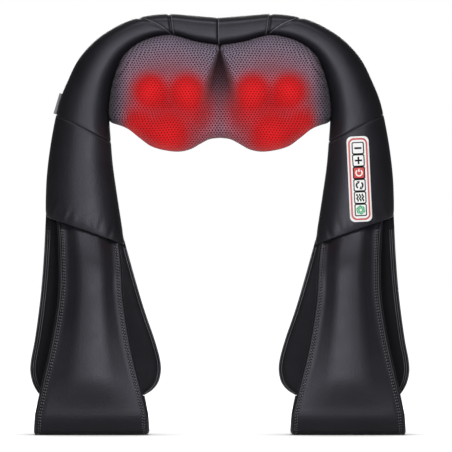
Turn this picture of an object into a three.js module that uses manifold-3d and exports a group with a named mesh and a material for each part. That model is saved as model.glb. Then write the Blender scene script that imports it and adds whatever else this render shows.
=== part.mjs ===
// A U-shaped shiatsu neck and shoulder massager, in millimetres, standing on its two hand loops.
// +Z is up, +X is the side of the control panel, and -Y is the side that faces the wearer's neck.
// The origin is on the floor, under the middle of the whole object.
// A padded leather collar runs over the top and down into two padded arms, each ending in a hand loop.
// Under the collar hangs the massage zone: two rotors of four nodes behind a cover of spacer mesh,
// driven through a worm and two idler gears by one motor.
import * as THREE from "three";
import { mergeVertices } from "three/addons/utils/BufferGeometryUtils.js";
import Module from "manifold-3d";

const wasm = await Module();
wasm.setup();

// ---- Driving dimensions ----
const GAP = 0.3; // left between pieces that touch
const PAD_MID_Y = 8.8; // depth of the pads' middle plane behind the origin
const COVER = 2.4; // leather cover with its backing
const COLLAR_DEPTH = 27; // half depth of the collar at the top
const ARM_DEPTH = 25; // half depth of an arm
const BAND = 8; // thickness of a hand strap and of the wing behind it
const LOOP_FRONT_Y = -39.5; // middle of the strap at the front of a hand loop
const LOOP_BACK_Y = 36; // middle of the strap at the back of a hand loop
const LOOP_BEND = 18; // radius of the strap's bends at the floor

// Outer and inner edge of the right half of the pad, from the middle of the collar to the end of the arm:
// outer x, outer z, inner x, inner z.
const PAD_EDGES = [
  [0, 439, 0, 408.5],
  [27, 441, 25, 412.5],
  [53.5, 443, 50, 419],
  [82, 440, 68, 417.2],
  [106, 431.5, 86, 410],
  [130, 416, 100, 397.5],
  [149, 395, 109, 378],
  [161, 371, 114.5, 354],
  [168, 354, 115.8, 333],
  [172.5, 337, 114.2, 308],
  [178.8, 303, 112.3, 284],
  [182.8, 268, 107.5, 250],
  [183.8, 229.5, 99.5, 199.5],
];
const ARM_FIRST_EDGE = 6; // an arm's own solid starts this far down the list
const MESH_LAST_EDGE = 8; // the mesh cover follows the inner edge down to here
const SEAM_OUTER = new THREE.Vector2(172.5, 337); // ends of the seam between collar and arm
const SEAM_INNER = new THREE.Vector2(114.2, 308);
const HINGE_ABOVE_SEAM = 10; // the arm bends about a line this far above that seam
const SOCKET_PLAY = 2.5; // room round the arm's rounded top

// Lower hem of the right half of the mesh cover: x, z.
const HEM = [
  [0, 313],
  [11, 311.5],
  [21, 306.5],
  [31, 301],
  [42, 298.5],
  [56, 299.5],
  [72, 304],
  [84, 312.5],
  [97, 322.5],
  [112, 328.5],
];
const MESH_THICK = 1.5;
const MESH_EDGE_Y = -4; // where the mesh cover starts, in front of the pads' middle plane
const MESH_SWELL = 33; // how far it swells out from there
const MESH_BACK_Y = 23.5; // its skirt runs back to here under the mechanism
const BACK_PANEL_Y = [24, 28];

// Mechanism
const ROTOR_X = 56; // half the distance between the two rotors
const ROTOR_Z = 344.5;
const NODE_RING = 24; // radius of the circle on which the nodes stand
const NODE_TURN = 36; // degrees from +X to the first node, at rest
const LARGE_NODE = { radius: 13.5, height: 27.5 };
const SMALL_NODE = { radius: 11.5, height: 22 };
const NODE_BASE_Y = -24.3;
const WORM_Y = 5; // the motor's shaft, behind the pads' middle plane
const WORM_PITCH_RADIUS = 5;
const WORM_MODULE = 1.25;
const WHEEL_TEETH = 24;
const PINION_TEETH = 12;
const OUTPUT_TEETH = 36;
const SPUR_MODULE = 1.5;
const IDLER_X = WORM_PITCH_RADIUS + (WORM_MODULE * WHEEL_TEETH) / 2;
const OUTPUT_Y = [-7, -1]; // front and back face of the output gears
const WHEEL_Y = [2, 8]; // front and back face of the worm wheels
const BOX_Y = [-11, 14]; // front and back of the gearbox
const BOX_SPLIT_Y = 2;
const BOX_WALL = 2;
const BOX_LOBE = 32; // radius of the gearbox round each output gear
const BOX_BLOCK_Z = [ROTOR_Z - 19, ROTOR_Z + 19]; // the gearbox between the lobes
const SHAFT_RADIUS = 4;
const BUSH_RADIUS = 6;
const PIN_RADIUS = 2.5;
const MOTOR_SHAFT_RADIUS = 1.6;
const MOTOR_RADIUS = 17.5;
const MOTOR_Z = [ROTOR_Z + 19.5, ROTOR_Z + 54];

// Control panel
const PANEL_MIDDLE = [146.5, -ARM_DEPTH, 268.8];
const PANEL_TILT = THREE.MathUtils.degToRad(-2.7);
const BEZEL = { width: 23.5, height: 90, corner: 5.5, front: -3.2, back: -GAP };
const TRAY = { width: 20.5, height: 85, depth: 10, wall: 1.5 };
const BOARD = { width: 16.8, height: 80, front: 5.2, back: 6.8, switchSize: 6, switchFront: 2.4 };
const BUTTON_PITCH = 13;
const BUTTON_SIZE = 11.6;
const BUTTON_PROUD = 0.8;
const BUTTONS = ["minus", "plus", "power", "direction", "heat", "speed"];

// Power socket, side tag and zip
const SOCKET_PLACE = [141, 243]; // x and z on the back of the right arm
const SOCKET = { radius: 6, flange: 8, bore: 2.8, pin: 1 };
const TAG = { at: 8.4, width: 3.6, thickness: 1.4, length: 19 }; // its place along the outer edge's points
const ZIP_Z = 342;
const ZIP_HALF = 80;
const ZIP_SLIDER_X = -73;

// ---- Solids ----
function solid(geometry) {
  const bare = geometry.clone();
  bare.deleteAttribute("normal");
  bare.deleteAttribute("uv");
  const merged = mergeVertices(bare, 1e-4);
  return new wasm.Manifold(
    new wasm.Mesh({
      numProp: 3,
      vertProperties: merged.attributes.position.array,
      triVerts: Uint32Array.from(merged.index.array),
    }),
  );
}

function geometryOf(manifold) {
  const mesh = manifold.getMesh();
  const geometry = new THREE.BufferGeometry();
  geometry.setAttribute("position", new THREE.BufferAttribute(mesh.vertProperties, 3));
  geometry.setIndex(new THREE.BufferAttribute(mesh.triVerts, 1));
  geometry.computeVertexNormals();
  return geometry;
}

// A closed geometry from points and triangles, turned so that its faces point out.
function closedGeometry(points, triangles) {
  let volume = 0;
  for (const [a, b, c] of triangles) {
    volume += points[a].dot(new THREE.Vector3().crossVectors(points[b], points[c]));
  }
  const facing = volume < 0 ? triangles.map(([a, b, c]) => [a, c, b]) : triangles;
  const geometry = new THREE.BufferGeometry().setFromPoints(points);
  geometry.setIndex(facing.flat());
  geometry.computeVertexNormals();
  return geometry;
}

// A skin over a row of rings that all have the same number of points, with flat ends.
function skin(rings) {
  const count = rings[0].length;
  const points = rings.flat();
  const triangles = [];
  for (let i = 0; i + 1 < rings.length; i++) {
    for (let j = 0; j < count; j++) {
      const a = i * count + j;
      const b = i * count + ((j + 1) % count);
      triangles.push([a, b, b + count], [a, b + count, a + count]);
    }
  }
  const last = (rings.length - 1) * count;
  for (let j = 1; j + 1 < count; j++) {
    triangles.push([0, j + 1, j], [last, last + j, last + j + 1]);
  }
  return closedGeometry(points, triangles);
}

// A cylinder along Y, and a box given by its limits.
function cylinder(radius, [from, to], x = 0, z = 0, sides = 16) {
  return solid(
    new THREE.CylinderGeometry(radius, radius, to - from, sides).translate(x, (from + to) / 2, z),
  );
}

function box([x0, x1], [y0, y1], [z0, z1]) {
  return solid(
    new THREE.BoxGeometry(x1 - x0, y1 - y0, z1 - z0).translate(
      (x0 + x1) / 2,
      (y0 + y1) / 2,
      (z0 + z1) / 2,
    ),
  );
}

// A cylinder along Z.
function upright(radius, [from, to], x, y, sides = 20) {
  return solid(
    new THREE.CylinderGeometry(radius, radius, to - from, sides)
      .rotateX(Math.PI / 2)
      .translate(x, y, (from + to) / 2),
  );
}

// An outline drawn in x and z, extruded along y.
function slab(shape, [from, to], curveSegments = 4) {
  const geometry = new THREE.ExtrudeGeometry(shape, {
    depth: to - from,
    bevelEnabled: false,
    curveSegments,
  });
  return geometry.rotateX(Math.PI / 2).translate(0, to, 0);
}

function roundedRectangle(width, height, corner) {
  const x = width / 2;
  const z = height / 2;
  const shape = new THREE.Shape();
  shape.moveTo(-x + corner, -z);
  shape.lineTo(x - corner, -z);
  shape.absarc(x - corner, -z + corner, corner, -Math.PI / 2, 0);
  shape.lineTo(x, z - corner);
  shape.absarc(x - corner, z - corner, corner, 0, Math.PI / 2);
  shape.lineTo(-x + corner, z);
  shape.absarc(-x + corner, z - corner, corner, Math.PI / 2, Math.PI);
  shape.lineTo(-x, -z + corner);
  shape.absarc(-x + corner, -z + corner, corner, Math.PI, Math.PI * 1.5);
  return shape;
}

// ---- Materials ----
function finish(color, roughness, metalness = 0) {
  return new THREE.MeshStandardMaterial({ color, roughness, metalness });
}

const MATERIALS = {
  leather: finish(0x232326, 0.42),
  lining: finish(0x18181a, 0.6),
  foam: finish(0x5a5a58, 0.95),
  mesh: finish(0x6d6374, 0.8),
  tag: finish(0x8a8a8c, 0.8),
  zip: finish(0x2a2a2c, 0.5, 0.4),
  housing: finish(0xd8d8d4, 0.55),
  steel: finish(0xa8abb0, 0.3, 1),
  brass: finish(0xb89a58, 0.35, 1),
  nylon: finish(0xe9e6da, 0.5),
  carrier: finish(0x2c2c30, 0.5),
  node: finish(0xd2201c, 0.35),
  bezel: finish(0xf3f3f1, 0.3),
  key: finish(0xf6f6f4, 0.35),
  powerKey: finish(0xc4161a, 0.35),
  plastic: finish(0x1c1c1e, 0.5),
  board: finish(0x1f6b3a, 0.5),
};

// ---- The padded collar and arms ----
const toPoint = ([x, z]) => new THREE.Vector3(x, 0, z);
const outerEdge = new THREE.CatmullRomCurve3(PAD_EDGES.map((row) => toPoint(row.slice(0, 2))));
const innerEdge = new THREE.CatmullRomCurve3(PAD_EDGES.map((row) => toPoint(row.slice(2))));
const EDGE_COUNT = PAD_EDGES.length - 1;

// A ring round the pad from its outer to its inner edge, drawn in by an inset.
function padRing(t, side, inset) {
  const outer = outerEdge.getPoint(t);
  const inner = innerEdge.getPoint(t);
  const middle = outer.clone().add(inner).multiplyScalar(0.5);
  const half = outer.clone().sub(middle);
  const width = half.length() - inset;
  const depth = THREE.MathUtils.lerp(COLLAR_DEPTH, ARM_DEPTH, Math.min(1, t * 2)) - inset;
  half.normalize();
  const sides = 14;
  const roundness = 2 / 2.6;
  const ring = [];
  for (let i = 0; i < sides; i++) {
    const angle = (i / sides) * Math.PI * 2;
    const across = Math.sign(Math.cos(angle)) * Math.abs(Math.cos(angle)) ** roundness;
    const deep = Math.sign(Math.sin(angle)) * Math.abs(Math.sin(angle)) ** roundness;
    const point = middle.clone().addScaledVector(half, across * width);
    ring.push(new THREE.Vector3(point.x * side, deep * depth, point.z));
  }
  return ring;
}

// The whole pad from one arm's end to the other's.
function wholePad(inset) {
  const half = 13;
  const rings = [];
  for (let i = -half; i <= half; i++) {
    rings.push(padRing(Math.abs(i) / half, i < 0 ? -1 : 1, inset));
  }
  return solid(skin(rings));
}

// One arm, with some of the collar above it.
function armPad(side, inset, endInset) {
  const first = ARM_FIRST_EDGE / EDGE_COUNT;
  const last = 1 - endInset / 400;
  const steps = 7;
  const rings = [];
  for (let i = 0; i <= steps; i++) {
    rings.push(padRing(THREE.MathUtils.lerp(first, last, i / steps), side, inset));
  }
  return solid(skin(rings));
}

// The line about which an arm bends, and the direction from it down the arm.
const seamDirection = SEAM_OUTER.clone().sub(SEAM_INNER).normalize();
const downArm = new THREE.Vector2(seamDirection.y, -seamDirection.x);
const hingePoint = SEAM_OUTER.clone()
  .add(SEAM_INNER)
  .multiplyScalar(0.5)
  .addScaledVector(downArm, -HINGE_ABOVE_SEAM);

// What lies on the arm's side of its bending line: a half space and a rounded top of some radius.
function armSide(side, radius) {
  const reach = 1000;
  const tilt = Math.atan2(seamDirection.y, seamDirection.x);
  const below = new THREE.BoxGeometry(reach, 200, reach).translate(0, 0, -reach / 2);
  const round = new THREE.CylinderGeometry(radius, radius, reach, 32).rotateZ(Math.PI / 2);
  return [below, round]
    .map((geometry) => {
      geometry.rotateY(-side * tilt).translate(side * hingePoint.x, 0, hingePoint.y);
      return solid(geometry);
    })
    .reduce((a, b) => a.add(b));
}

const infront = box([-300, 300], [-100, -GAP / 2], [-100, 600]);
const behind = box([-300, 300], [GAP / 2, 100], [-100, 600]);

function collarShape(inset, socket = ARM_DEPTH + SOCKET_PLAY) {
  let shape = wholePad(inset);
  for (const side of [-1, 1]) {
    shape = shape.subtract(armSide(side, socket));
  }
  return shape;
}

function armShape(side, inset, endInset = 0) {
  return armPad(side, inset, endInset).intersect(armSide(side, ARM_DEPTH - inset));
}

// ---- Hand loops ----
// A ring round a flat band with rounded edges, between its outer and inner edge.
function bandRing(outer, inner, normal) {
  const middle = outer.clone().add(inner).multiplyScalar(0.5);
  const across = outer.clone().sub(middle);
  const half = across.length();
  across.normalize();
  const round = BAND / 2 - 1;
  const ring = [];
  for (let corner = 0; corner < 4; corner++) {
    const signX = corner === 0 || corner === 3 ? 1 : -1;
    const signN = corner < 2 ? 1 : -1;
    for (let step = 0; step < 2; step++) {
      const angle = (corner + step) * (Math.PI / 2);
      const x = signX * (half - round) + Math.cos(angle) * round;
      const n = signN * (BAND / 2 - round) + Math.sin(angle) * round;
      ring.push(middle.clone().addScaledVector(across, x).addScaledVector(normal, n));
    }
  }
  return ring;
}

// A band through a list of [outer x, outer z, inner x, inner z, y], smoothed where it is coarse.
function bandThrough(rows, side, steps) {
  const edge = (at) => new THREE.CatmullRomCurve3(rows.map(at));
  const outer = edge((row) => new THREE.Vector3(row[0], row[4], row[1]));
  const inner = edge((row) => new THREE.Vector3(row[2], row[4], row[3]));
  const rings = [];
  for (let i = 0; i <= steps; i++) {
    const t = i / steps;
    const tangent = outer.getTangent(t).add(inner.getTangent(t));
    const normal = new THREE.Vector3(0, tangent.z, -tangent.y).normalize();
    rings.push(bandRing(outer.getPoint(t), inner.getPoint(t), normal));
  }
  for (const point of rings.flat()) {
    point.x *= side;
  }
  return rings;
}

// The strap comes down the front, runs along the floor and turns up to meet the wing.
function handStrap(side) {
  const front = bandThrough(
    [
      [171, 224.4, 103, 200.2, -21],
      [169.3, 187, 102.3, 175, -24],
      [169.5, 150, 101, 147, -28],
      [173.5, 118, 97.3, 118, -32.5],
      [180, 84, 91, 84, -36.5],
      [187.5, 52, 83, 52, -39],
      [194, LOOP_BEND + BAND / 2, 75.5, LOOP_BEND + BAND / 2, LOOP_FRONT_Y],
    ],
    side,
    10,
  );
  const bendZ = LOOP_BEND + BAND / 2;
  const bend = (middleY, from) => {
    const rings = [];
    for (let step = 0; step <= 4; step++) {
      const angle = from + (step / 4) * (Math.PI / 2);
      const out = new THREE.Vector3(0, Math.cos(angle), Math.sin(angle));
      const y = middleY + out.y * LOOP_BEND;
      const z = bendZ + out.z * LOOP_BEND;
      const spread = 1.7 - (1.7 * z) / bendZ;
      const outer = new THREE.Vector3(side * (194 + spread), y, z);
      const inner = new THREE.Vector3(side * (75.5 - spread), y, z);
      rings.push(bandRing(outer, inner, out));
    }
    return rings;
  };
  const end = bandRing(
    new THREE.Vector3(190 * side, LOOP_BACK_Y, 40.6),
    new THREE.Vector3(79.4 * side, LOOP_BACK_Y, 40.6),
    new THREE.Vector3(0, 1, 0),
  );
  return skin([
    ...front.slice(0, -1),
    ...bend(LOOP_FRONT_Y + LOOP_BEND, Math.PI),
    ...bend(LOOP_BACK_Y - LOOP_BEND, Math.PI * 1.5),
    end,
  ]);
}

function wing(side) {
  const rings = bandThrough(
    [
      [183.6, 228.4, 100, 198.8, 21],
      [185.4, 190, 95, 184, 24],
      [187.7, 159, 88, 159, 27],
      [191.1, 128.6, 78.8, 128.6, 30.5],
      [195.4, 98.4, 68.4, 98.4, 33.6],
      [199.4, 77, 62.8, 77, 35.4],
      [200, 66, 62.2, 66, 35.8],
      [197.5, 54, 65.2, 54, LOOP_BACK_Y],
      [193.5, 46, 71.8, 46, LOOP_BACK_Y],
      [190, 41.3, 79.4, 41.3, LOOP_BACK_Y],
    ],
    side,
    18,
  );
  return skin(rings);
}

// ---- The mesh cover over the massage zone ----
const hemCurve = new THREE.CatmullRomCurve3(HEM.map(toPoint));
const meshTop = (s) => {
  const point = innerEdge.getPoint((s * MESH_LAST_EDGE) / EDGE_COUNT);
  return new THREE.Vector3(point.x * 0.988, 0, point.z - 0.9);
};

// The border of the right half, as short segments.
const borderPoints = [];
for (let i = 0; i <= 40; i++) {
  borderPoints.push(hemCurve.getPoint(i / 40));
}
for (let i = 40; i >= 0; i--) {
  borderPoints.push(meshTop(i / 40));
}

function borderDistance(point) {
  const nearest = new THREE.Vector3();
  let least = Infinity;
  for (let i = 0; i + 1 < borderPoints.length; i++) {
    const segment = new THREE.Line3(borderPoints[i], borderPoints[i + 1]);
    segment.closestPointToPoint(point, true, nearest);
    least = Math.min(least, nearest.distanceTo(point));
  }
  return least;
}

// How far forward the mesh cover stands at x, z: a cushion with a ring over each rotor's sweep,
// a soft bump over each node at rest, and a fold between the two sides under the collar.
function meshFront(x, z) {
  const right = Math.abs(x);
  const shoulder = THREE.MathUtils.lerp(12, 22, THREE.MathUtils.smoothstep(z, 325, 350));
  const edge = Math.min(1, borderDistance(new THREE.Vector3(right, 0, z)) / shoulder);
  const rise = Math.sqrt(1 - (1 - edge) ** 4);
  const fromRotor = Math.hypot(right - ROTOR_X, z - ROTOR_Z);
  const ring = 18.5 * Math.exp(-((Math.abs(fromRotor - NODE_RING) / 17) ** 3));
  let bumps = 0;
  for (let k = 0; k < 4; k++) {
    const angle = THREE.MathUtils.degToRad(180 - NODE_TURN - 90 * k);
    const nodeX = ROTOR_X + Math.cos(angle) * NODE_RING;
    const nodeZ = ROTOR_Z + Math.sin(angle) * NODE_RING;
    bumps += 2.5 * Math.exp(-((Math.hypot(right - nodeX, z - nodeZ) / 10) ** 2));
  }
  const foldWidth = Math.min(26, 3 + 0.3 * (408 - z));
  const foldDepth = 14 * THREE.MathUtils.smoothstep(z, 335, 385);
  const fold = foldDepth * (1 - THREE.MathUtils.smoothstep(right / foldWidth, 0.45, 1.2));
  return MESH_EDGE_Y - rise * (MESH_SWELL + ring + bumps - fold);
}

function meshCover() {
  const columns = 28;
  const rows = 12;
  const grid = [];
  for (let i = 0; i <= columns; i++) {
    const u = (i / columns) * 2 - 1;
    const s = Math.abs(u);
    const hem = hemCurve.getPoint(s);
    const top = meshTop(s);
    const column = [];
    column.push(new THREE.Vector3(hem.x, MESH_BACK_Y, hem.z));
    for (let j = 0; j <= rows; j++) {
      const share = (1 - Math.cos((Math.PI * j) / rows)) / 2;
      const point = hem.clone().lerp(top, share);
      point.y = meshFront(point.x, point.z);
      column.push(point);
    }
    column.push(new THREE.Vector3(top.x, MESH_BACK_Y, top.z));
    for (const point of column) {
      point.x *= Math.sign(u);
    }
    grid.push(column);
  }
  return sheetSolid(grid, MESH_THICK);
}

// A sheet given as a grid of points on its outer face, thickened inwards.
function sheetSolid(grid, thickness) {
  const columns = grid.length;
  const rows = grid[0].length;
  const at = (i, j) =>
    grid[Math.max(0, Math.min(columns - 1, i))][Math.max(0, Math.min(rows - 1, j))];
  const outer = grid.flat();
  const inner = [];
  for (let i = 0; i < columns; i++) {
    for (let j = 0; j < rows; j++) {
      const along = at(i + 1, j).clone().sub(at(i - 1, j));
      const up = at(i, j + 1).clone().sub(at(i, j - 1));
      const normal = along.cross(up).normalize();
      inner.push(at(i, j).clone().addScaledVector(normal, -thickness));
    }
  }
  const back = outer.length;
  const triangles = [];
  const quad = (a, b, c, d) => triangles.push([a, b, c], [a, c, d]);
  for (let i = 0; i + 1 < columns; i++) {
    for (let j = 0; j + 1 < rows; j++) {
      const a = i * rows + j;
      quad(a, a + rows, a + rows + 1, a + 1);
      quad(back + a, back + a + 1, back + a + rows + 1, back + a + rows);
    }
    const low = i * rows;
    const high = low + rows - 1;
    quad(low, back + low, back + low + rows, low + rows);
    quad(high, high + rows, back + high + rows, back + high);
  }
  const end = (columns - 1) * rows;
  for (let j = 0; j + 1 < rows; j++) {
    quad(j, j + 1, back + j + 1, back + j);
    quad(end + j, back + end + j, back + end + j + 1, end + j + 1);
  }
  return closedGeometry([...outer, ...inner], triangles);
}

// The region that the mesh cover closes, drawn in by a share of its size, for the panel behind it.
function zoneShape(share) {
  const middle = new THREE.Vector2(0, 358);
  const half = [];
  for (let i = 0; i <= 12; i++) {
    const point = hemCurve.getPoint(i / 12);
    half.push(new THREE.Vector2(point.x, point.z));
  }
  for (let i = 12; i >= 0; i--) {
    const point = meshTop(i / 12);
    half.push(new THREE.Vector2(point.x, point.z));
  }
  const mirrored = half.slice(1, -1).map((point) => new THREE.Vector2(-point.x, point.y));
  const around = [...half, ...mirrored.reverse()];
  return new THREE.Shape(around.map((point) => point.sub(middle).multiplyScalar(share).add(middle)));
}

function backPad() {
  const pad = solid(slab(zoneShape(0.94), [14.5, 23.5]));
  const motorSpace = MOTOR_RADIUS + 1.5;
  return pad.subtract(box([-motorSpace, motorSpace], [0, 50], [MOTOR_Z[0] - 4, 450]));
}

// ---- Gears ----
// Half of the angle that an involute tooth takes up at a radius.
function toothHalfAngle(teeth, module, radius, thinning) {
  const pitch = (teeth * module) / 2;
  const base = pitch * Math.cos(THREE.MathUtils.degToRad(20));
  const involute = (r) => {
    const pressure = Math.acos(Math.min(1, base / Math.max(r, base)));
    return Math.tan(pressure) - pressure;
  };
  return (Math.PI / 2 / teeth) * thinning + involute(pitch) - involute(radius);
}

function gearShape(teeth, module, turn, bore, { thinning = 0.82, tip = 0.85 } = {}) {
  const pitch = (teeth * module) / 2;
  const radii = [pitch - 1.15 * module, pitch + tip * module];
  const outline = [];
  for (let k = 0; k < teeth; k++) {
    const middle = turn + (k / teeth) * Math.PI * 2;
    const flank = radii.map((radius) => toothHalfAngle(teeth, module, radius, thinning));
    const rising = radii.map((radius, i) => [radius, middle - flank[i]]);
    const falling = radii.map((radius, i) => [radius, middle + flank[i]]).reverse();
    for (const [radius, angle] of [...rising, ...falling]) {
      outline.push(new THREE.Vector2(radius * Math.cos(angle), radius * Math.sin(angle)));
    }
  }
  const shape = new THREE.Shape(outline);
  const hole = new THREE.Path();
  hole.absarc(0, 0, bore, 0, Math.PI * 2, true);
  shape.holes.push(hole);
  return shape;
}

// Worm wheel and pinion in one moulding, which turns on a pin. Its wheel is in mesh at rest.
function idlerGear(side) {
  const bore = PIN_RADIUS + GAP;
  const turn = side > 0 ? Math.PI / WHEEL_TEETH : 0;
  const wheelShape = gearShape(WHEEL_TEETH, WORM_MODULE, turn, bore, { thinning: 0.62, tip: 0.8 });
  const pinionShape = gearShape(PINION_TEETH, SPUR_MODULE, 0, bore, { tip: 0.7 });
  const wheel = solid(slab(wheelShape, WHEEL_Y, 5));
  const pinion = solid(slab(pinionShape, [OUTPUT_Y[0] - 0.5, WHEEL_Y[0] + 0.5], 5));
  return wheel.add(pinion).translate([side * IDLER_X, 0, ROTOR_Z]);
}

// The output gear, moulded on the shaft that carries the rotor.
function outputGear(side) {
  const shape = gearShape(OUTPUT_TEETH, SPUR_MODULE, Math.PI / OUTPUT_TEETH, SHAFT_RADIUS - 1);
  const shaft = cylinder(SHAFT_RADIUS, [NODE_BASE_Y - 2.5, BOX_Y[1] - 1]);
  return solid(slab(shape, OUTPUT_Y, 5)).add(shaft).translate([side * ROTOR_X, 0, ROTOR_Z]);
}

// The worm: a helical thread on a core, with a bore for the motor's shaft.
function worm() {
  const pitch = Math.PI * WORM_MODULE;
  const turns = 3;
  const stepsPerTurn = 10;
  const root = WORM_PITCH_RADIUS - 1.5;
  const tip = WORM_PITCH_RADIUS + 1.1;
  const rings = [];
  for (let i = 0; i <= turns * stepsPerTurn; i++) {
    const turn = i / stepsPerTurn - turns / 2;
    const angle = turn * Math.PI * 2;
    const corners = [
      [root, -0.34],
      [tip, -0.12],
      [tip, 0.12],
      [root, 0.34],
    ];
    rings.push(
      corners.map(([radius, along]) => {
        const z = (turn + along) * pitch;
        return new THREE.Vector3(Math.cos(angle) * radius, Math.sin(angle) * radius, z);
      }),
    );
  }
  const length = turns * pitch + 4;
  const core = upright(root + 0.3, [-length / 2, length / 2], 0, 0, 16);
  const bore = upright(MOTOR_SHAFT_RADIUS + GAP, [-length, length], 0, 0, 12);
  return solid(skin(rings)).add(core).subtract(bore).translate([0, WORM_Y, ROTOR_Z]);
}

// ---- Gearbox and motor ----
const SCREW_PLACES = [-1, 1].flatMap((x) => [
  [x * 26, BOX_BLOCK_Z[1] + 3],
  [x * 26, BOX_BLOCK_Z[0] - 3],
]);

function boxOutline(inset, span) {
  const reach = ROTOR_X - inset;
  const block = [BOX_BLOCK_Z[0] + inset, BOX_BLOCK_Z[1] - inset];
  const lobes = [-1, 1].map((side) =>
    cylinder(BOX_LOBE - inset, span, side * ROTOR_X, ROTOR_Z, 20),
  );
  return box([-reach, reach], span, block).add(lobes[0]).add(lobes[1]);
}

function gearboxHalf(span, cavity) {
  let half = boxOutline(0, span);
  for (const [x, z] of SCREW_PLACES) {
    half = half.add(cylinder(4, span, x, z, 10));
  }
  half = half.subtract(boxOutline(BOX_WALL, cavity));
  for (const [x, z] of SCREW_PLACES) {
    half = half.subtract(cylinder(1.8, [-50, 50], x, z, 8));
  }
  for (const side of [-1, 1]) {
    half = half.subtract(cylinder(PIN_RADIUS + GAP, [-50, 50], side * IDLER_X, ROTOR_Z, 12));
  }
  return half.subtract(upright(7, [ROTOR_Z, 400], 0, WORM_Y));
}

function gearboxFront() {
  let half = gearboxHalf([BOX_Y[0], BOX_SPLIT_Y - GAP / 2], [BOX_Y[0] + BOX_WALL, 50]);
  for (const side of [-1, 1]) {
    half = half.subtract(cylinder(BUSH_RADIUS + GAP, [-50, 50], side * ROTOR_X, ROTOR_Z));
  }
  return half;
}

function gearboxRear() {
  let half = gearboxHalf([BOX_SPLIT_Y + GAP / 2, BOX_Y[1]], [-50, BOX_Y[1] - BOX_WALL]);
  for (const side of [-1, 1]) {
    half = half.subtract(cylinder(SHAFT_RADIUS + GAP, [-50, 50], side * ROTOR_X, ROTOR_Z));
  }
  return half;
}

function gearboxScrew([x, z]) {
  const shank = cylinder(1.5, [BOX_Y[0] - GAP - 0.5, 10], x, z, 8);
  return shank.add(cylinder(3, [BOX_Y[0] - GAP - 2, BOX_Y[0] - GAP], x, z, 12));
}

function bush(side) {
  const span = [-15, BOX_Y[0] + BOX_WALL - GAP];
  const outside = cylinder(BUSH_RADIUS, span, side * ROTOR_X, ROTOR_Z);
  return outside.subtract(cylinder(SHAFT_RADIUS + GAP, [-50, 50], side * ROTOR_X, ROTOR_Z));
}

function motorCan() {
  const boss = upright(6.5, [MOTOR_Z[0] - 3, MOTOR_Z[0] + 1], 0, WORM_Y);
  return upright(MOTOR_RADIUS, MOTOR_Z, 0, WORM_Y, 24)
    .add(boss)
    .subtract(upright(MOTOR_RADIUS - 2.5, [MOTOR_Z[0] + 2, MOTOR_Z[1] + 5], 0, WORM_Y, 24))
    .subtract(upright(MOTOR_SHAFT_RADIUS + GAP, [300, 400], 0, WORM_Y, 12));
}

function motorEndCap() {
  return upright(MOTOR_RADIUS - 1, [MOTOR_Z[1] + GAP, MOTOR_Z[1] + 3], 0, WORM_Y, 24).subtract(
    upright(MOTOR_SHAFT_RADIUS + GAP, [390, 430], 0, WORM_Y, 12),
  );
}

function motorArmature() {
  const shaft = upright(MOTOR_SHAFT_RADIUS, [ROTOR_Z - 12, MOTOR_Z[1] + 2.5], 0, WORM_Y, 12);
  let armature = upright(12.5, [MOTOR_Z[0] + 6, MOTOR_Z[1] - 8], 0, WORM_Y, 20).add(shaft);
  for (let k = 0; k < 5; k++) {
    const angle = (k / 5) * Math.PI * 2;
    const slot = upright(1.6, [MOTOR_Z[0], MOTOR_Z[1]], 12 * Math.cos(angle), 12 * Math.sin(angle), 8);
    armature = armature.subtract(slot.translate([0, WORM_Y, 0]));
  }
  return armature;
}

// ---- Rotors ----
function carrier(side) {
  const plate = [NODE_BASE_Y + GAP, NODE_BASE_Y + 5.3];
  let shape = cylinder(10, plate).add(cylinder(7.5, [NODE_BASE_Y - 3.2, plate[1]]));
  for (let k = 0; k < 4; k++) {
    const arm = box([0, NODE_RING], plate, [-6, 6]).add(cylinder(8, plate, NODE_RING, 0, 12));
    shape = shape.add(arm.rotate([0, -nodeAngle(side, k), 0]));
  }
  shape = shape.subtract(cylinder(SHAFT_RADIUS + GAP, [-60, 0]));
  return shape.translate([side * ROTOR_X, 0, ROTOR_Z]);
}

// Degrees from +X towards +Z. The two rotors mirror each other.
function nodeAngle(side, k) {
  return side > 0 ? 180 - NODE_TURN - 90 * k : NODE_TURN + 90 * k;
}

function headCap(side) {
  const span = [NODE_BASE_Y - 5.5, NODE_BASE_Y - 3.2 - GAP];
  return cylinder(6.5, span, side * ROTOR_X, ROTOR_Z, 20);
}

// A domed massage node, standing forward from the carrier.
function massageNode(side, k, { radius, height }) {
  const profile = [
    [0, 0],
    [radius - 2, 0],
    [radius, 2.5],
    [radius, height * 0.3],
    [radius * 0.86, height * 0.66],
    [radius * 0.5, height * 0.92],
    [0, height],
  ];
  const dome = new THREE.LatheGeometry(
    profile.map(([r, h]) => new THREE.Vector2(r, h)),
    14,
  );
  const angle = THREE.MathUtils.degToRad(nodeAngle(side, k));
  return dome
    .rotateX(Math.PI)
    .translate(
      side * ROTOR_X + Math.cos(angle) * NODE_RING,
      NODE_BASE_Y,
      ROTOR_Z + Math.sin(angle) * NODE_RING,
    );
}

// ---- Control panel, in its own frame: x across, z along, -y out of the arm ----
const panel = new THREE.Group();
panel.position.set(...PANEL_MIDDLE);
panel.rotation.y = PANEL_TILT;
panel.updateMatrix();

const buttonZ = (index) => ((BUTTONS.length - 1) / 2 - index) * BUTTON_PITCH;

// The hole that the panel's tray needs in the arm.
function panelPocket() {
  const width = TRAY.width / 2 + GAP;
  const height = TRAY.height / 2 + GAP;
  const hole = new THREE.BoxGeometry(2 * width, 30, 2 * height).translate(0, TRAY.depth - 15 + GAP, 0);
  return solid(hole.applyMatrix4(panel.matrix));
}

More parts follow.
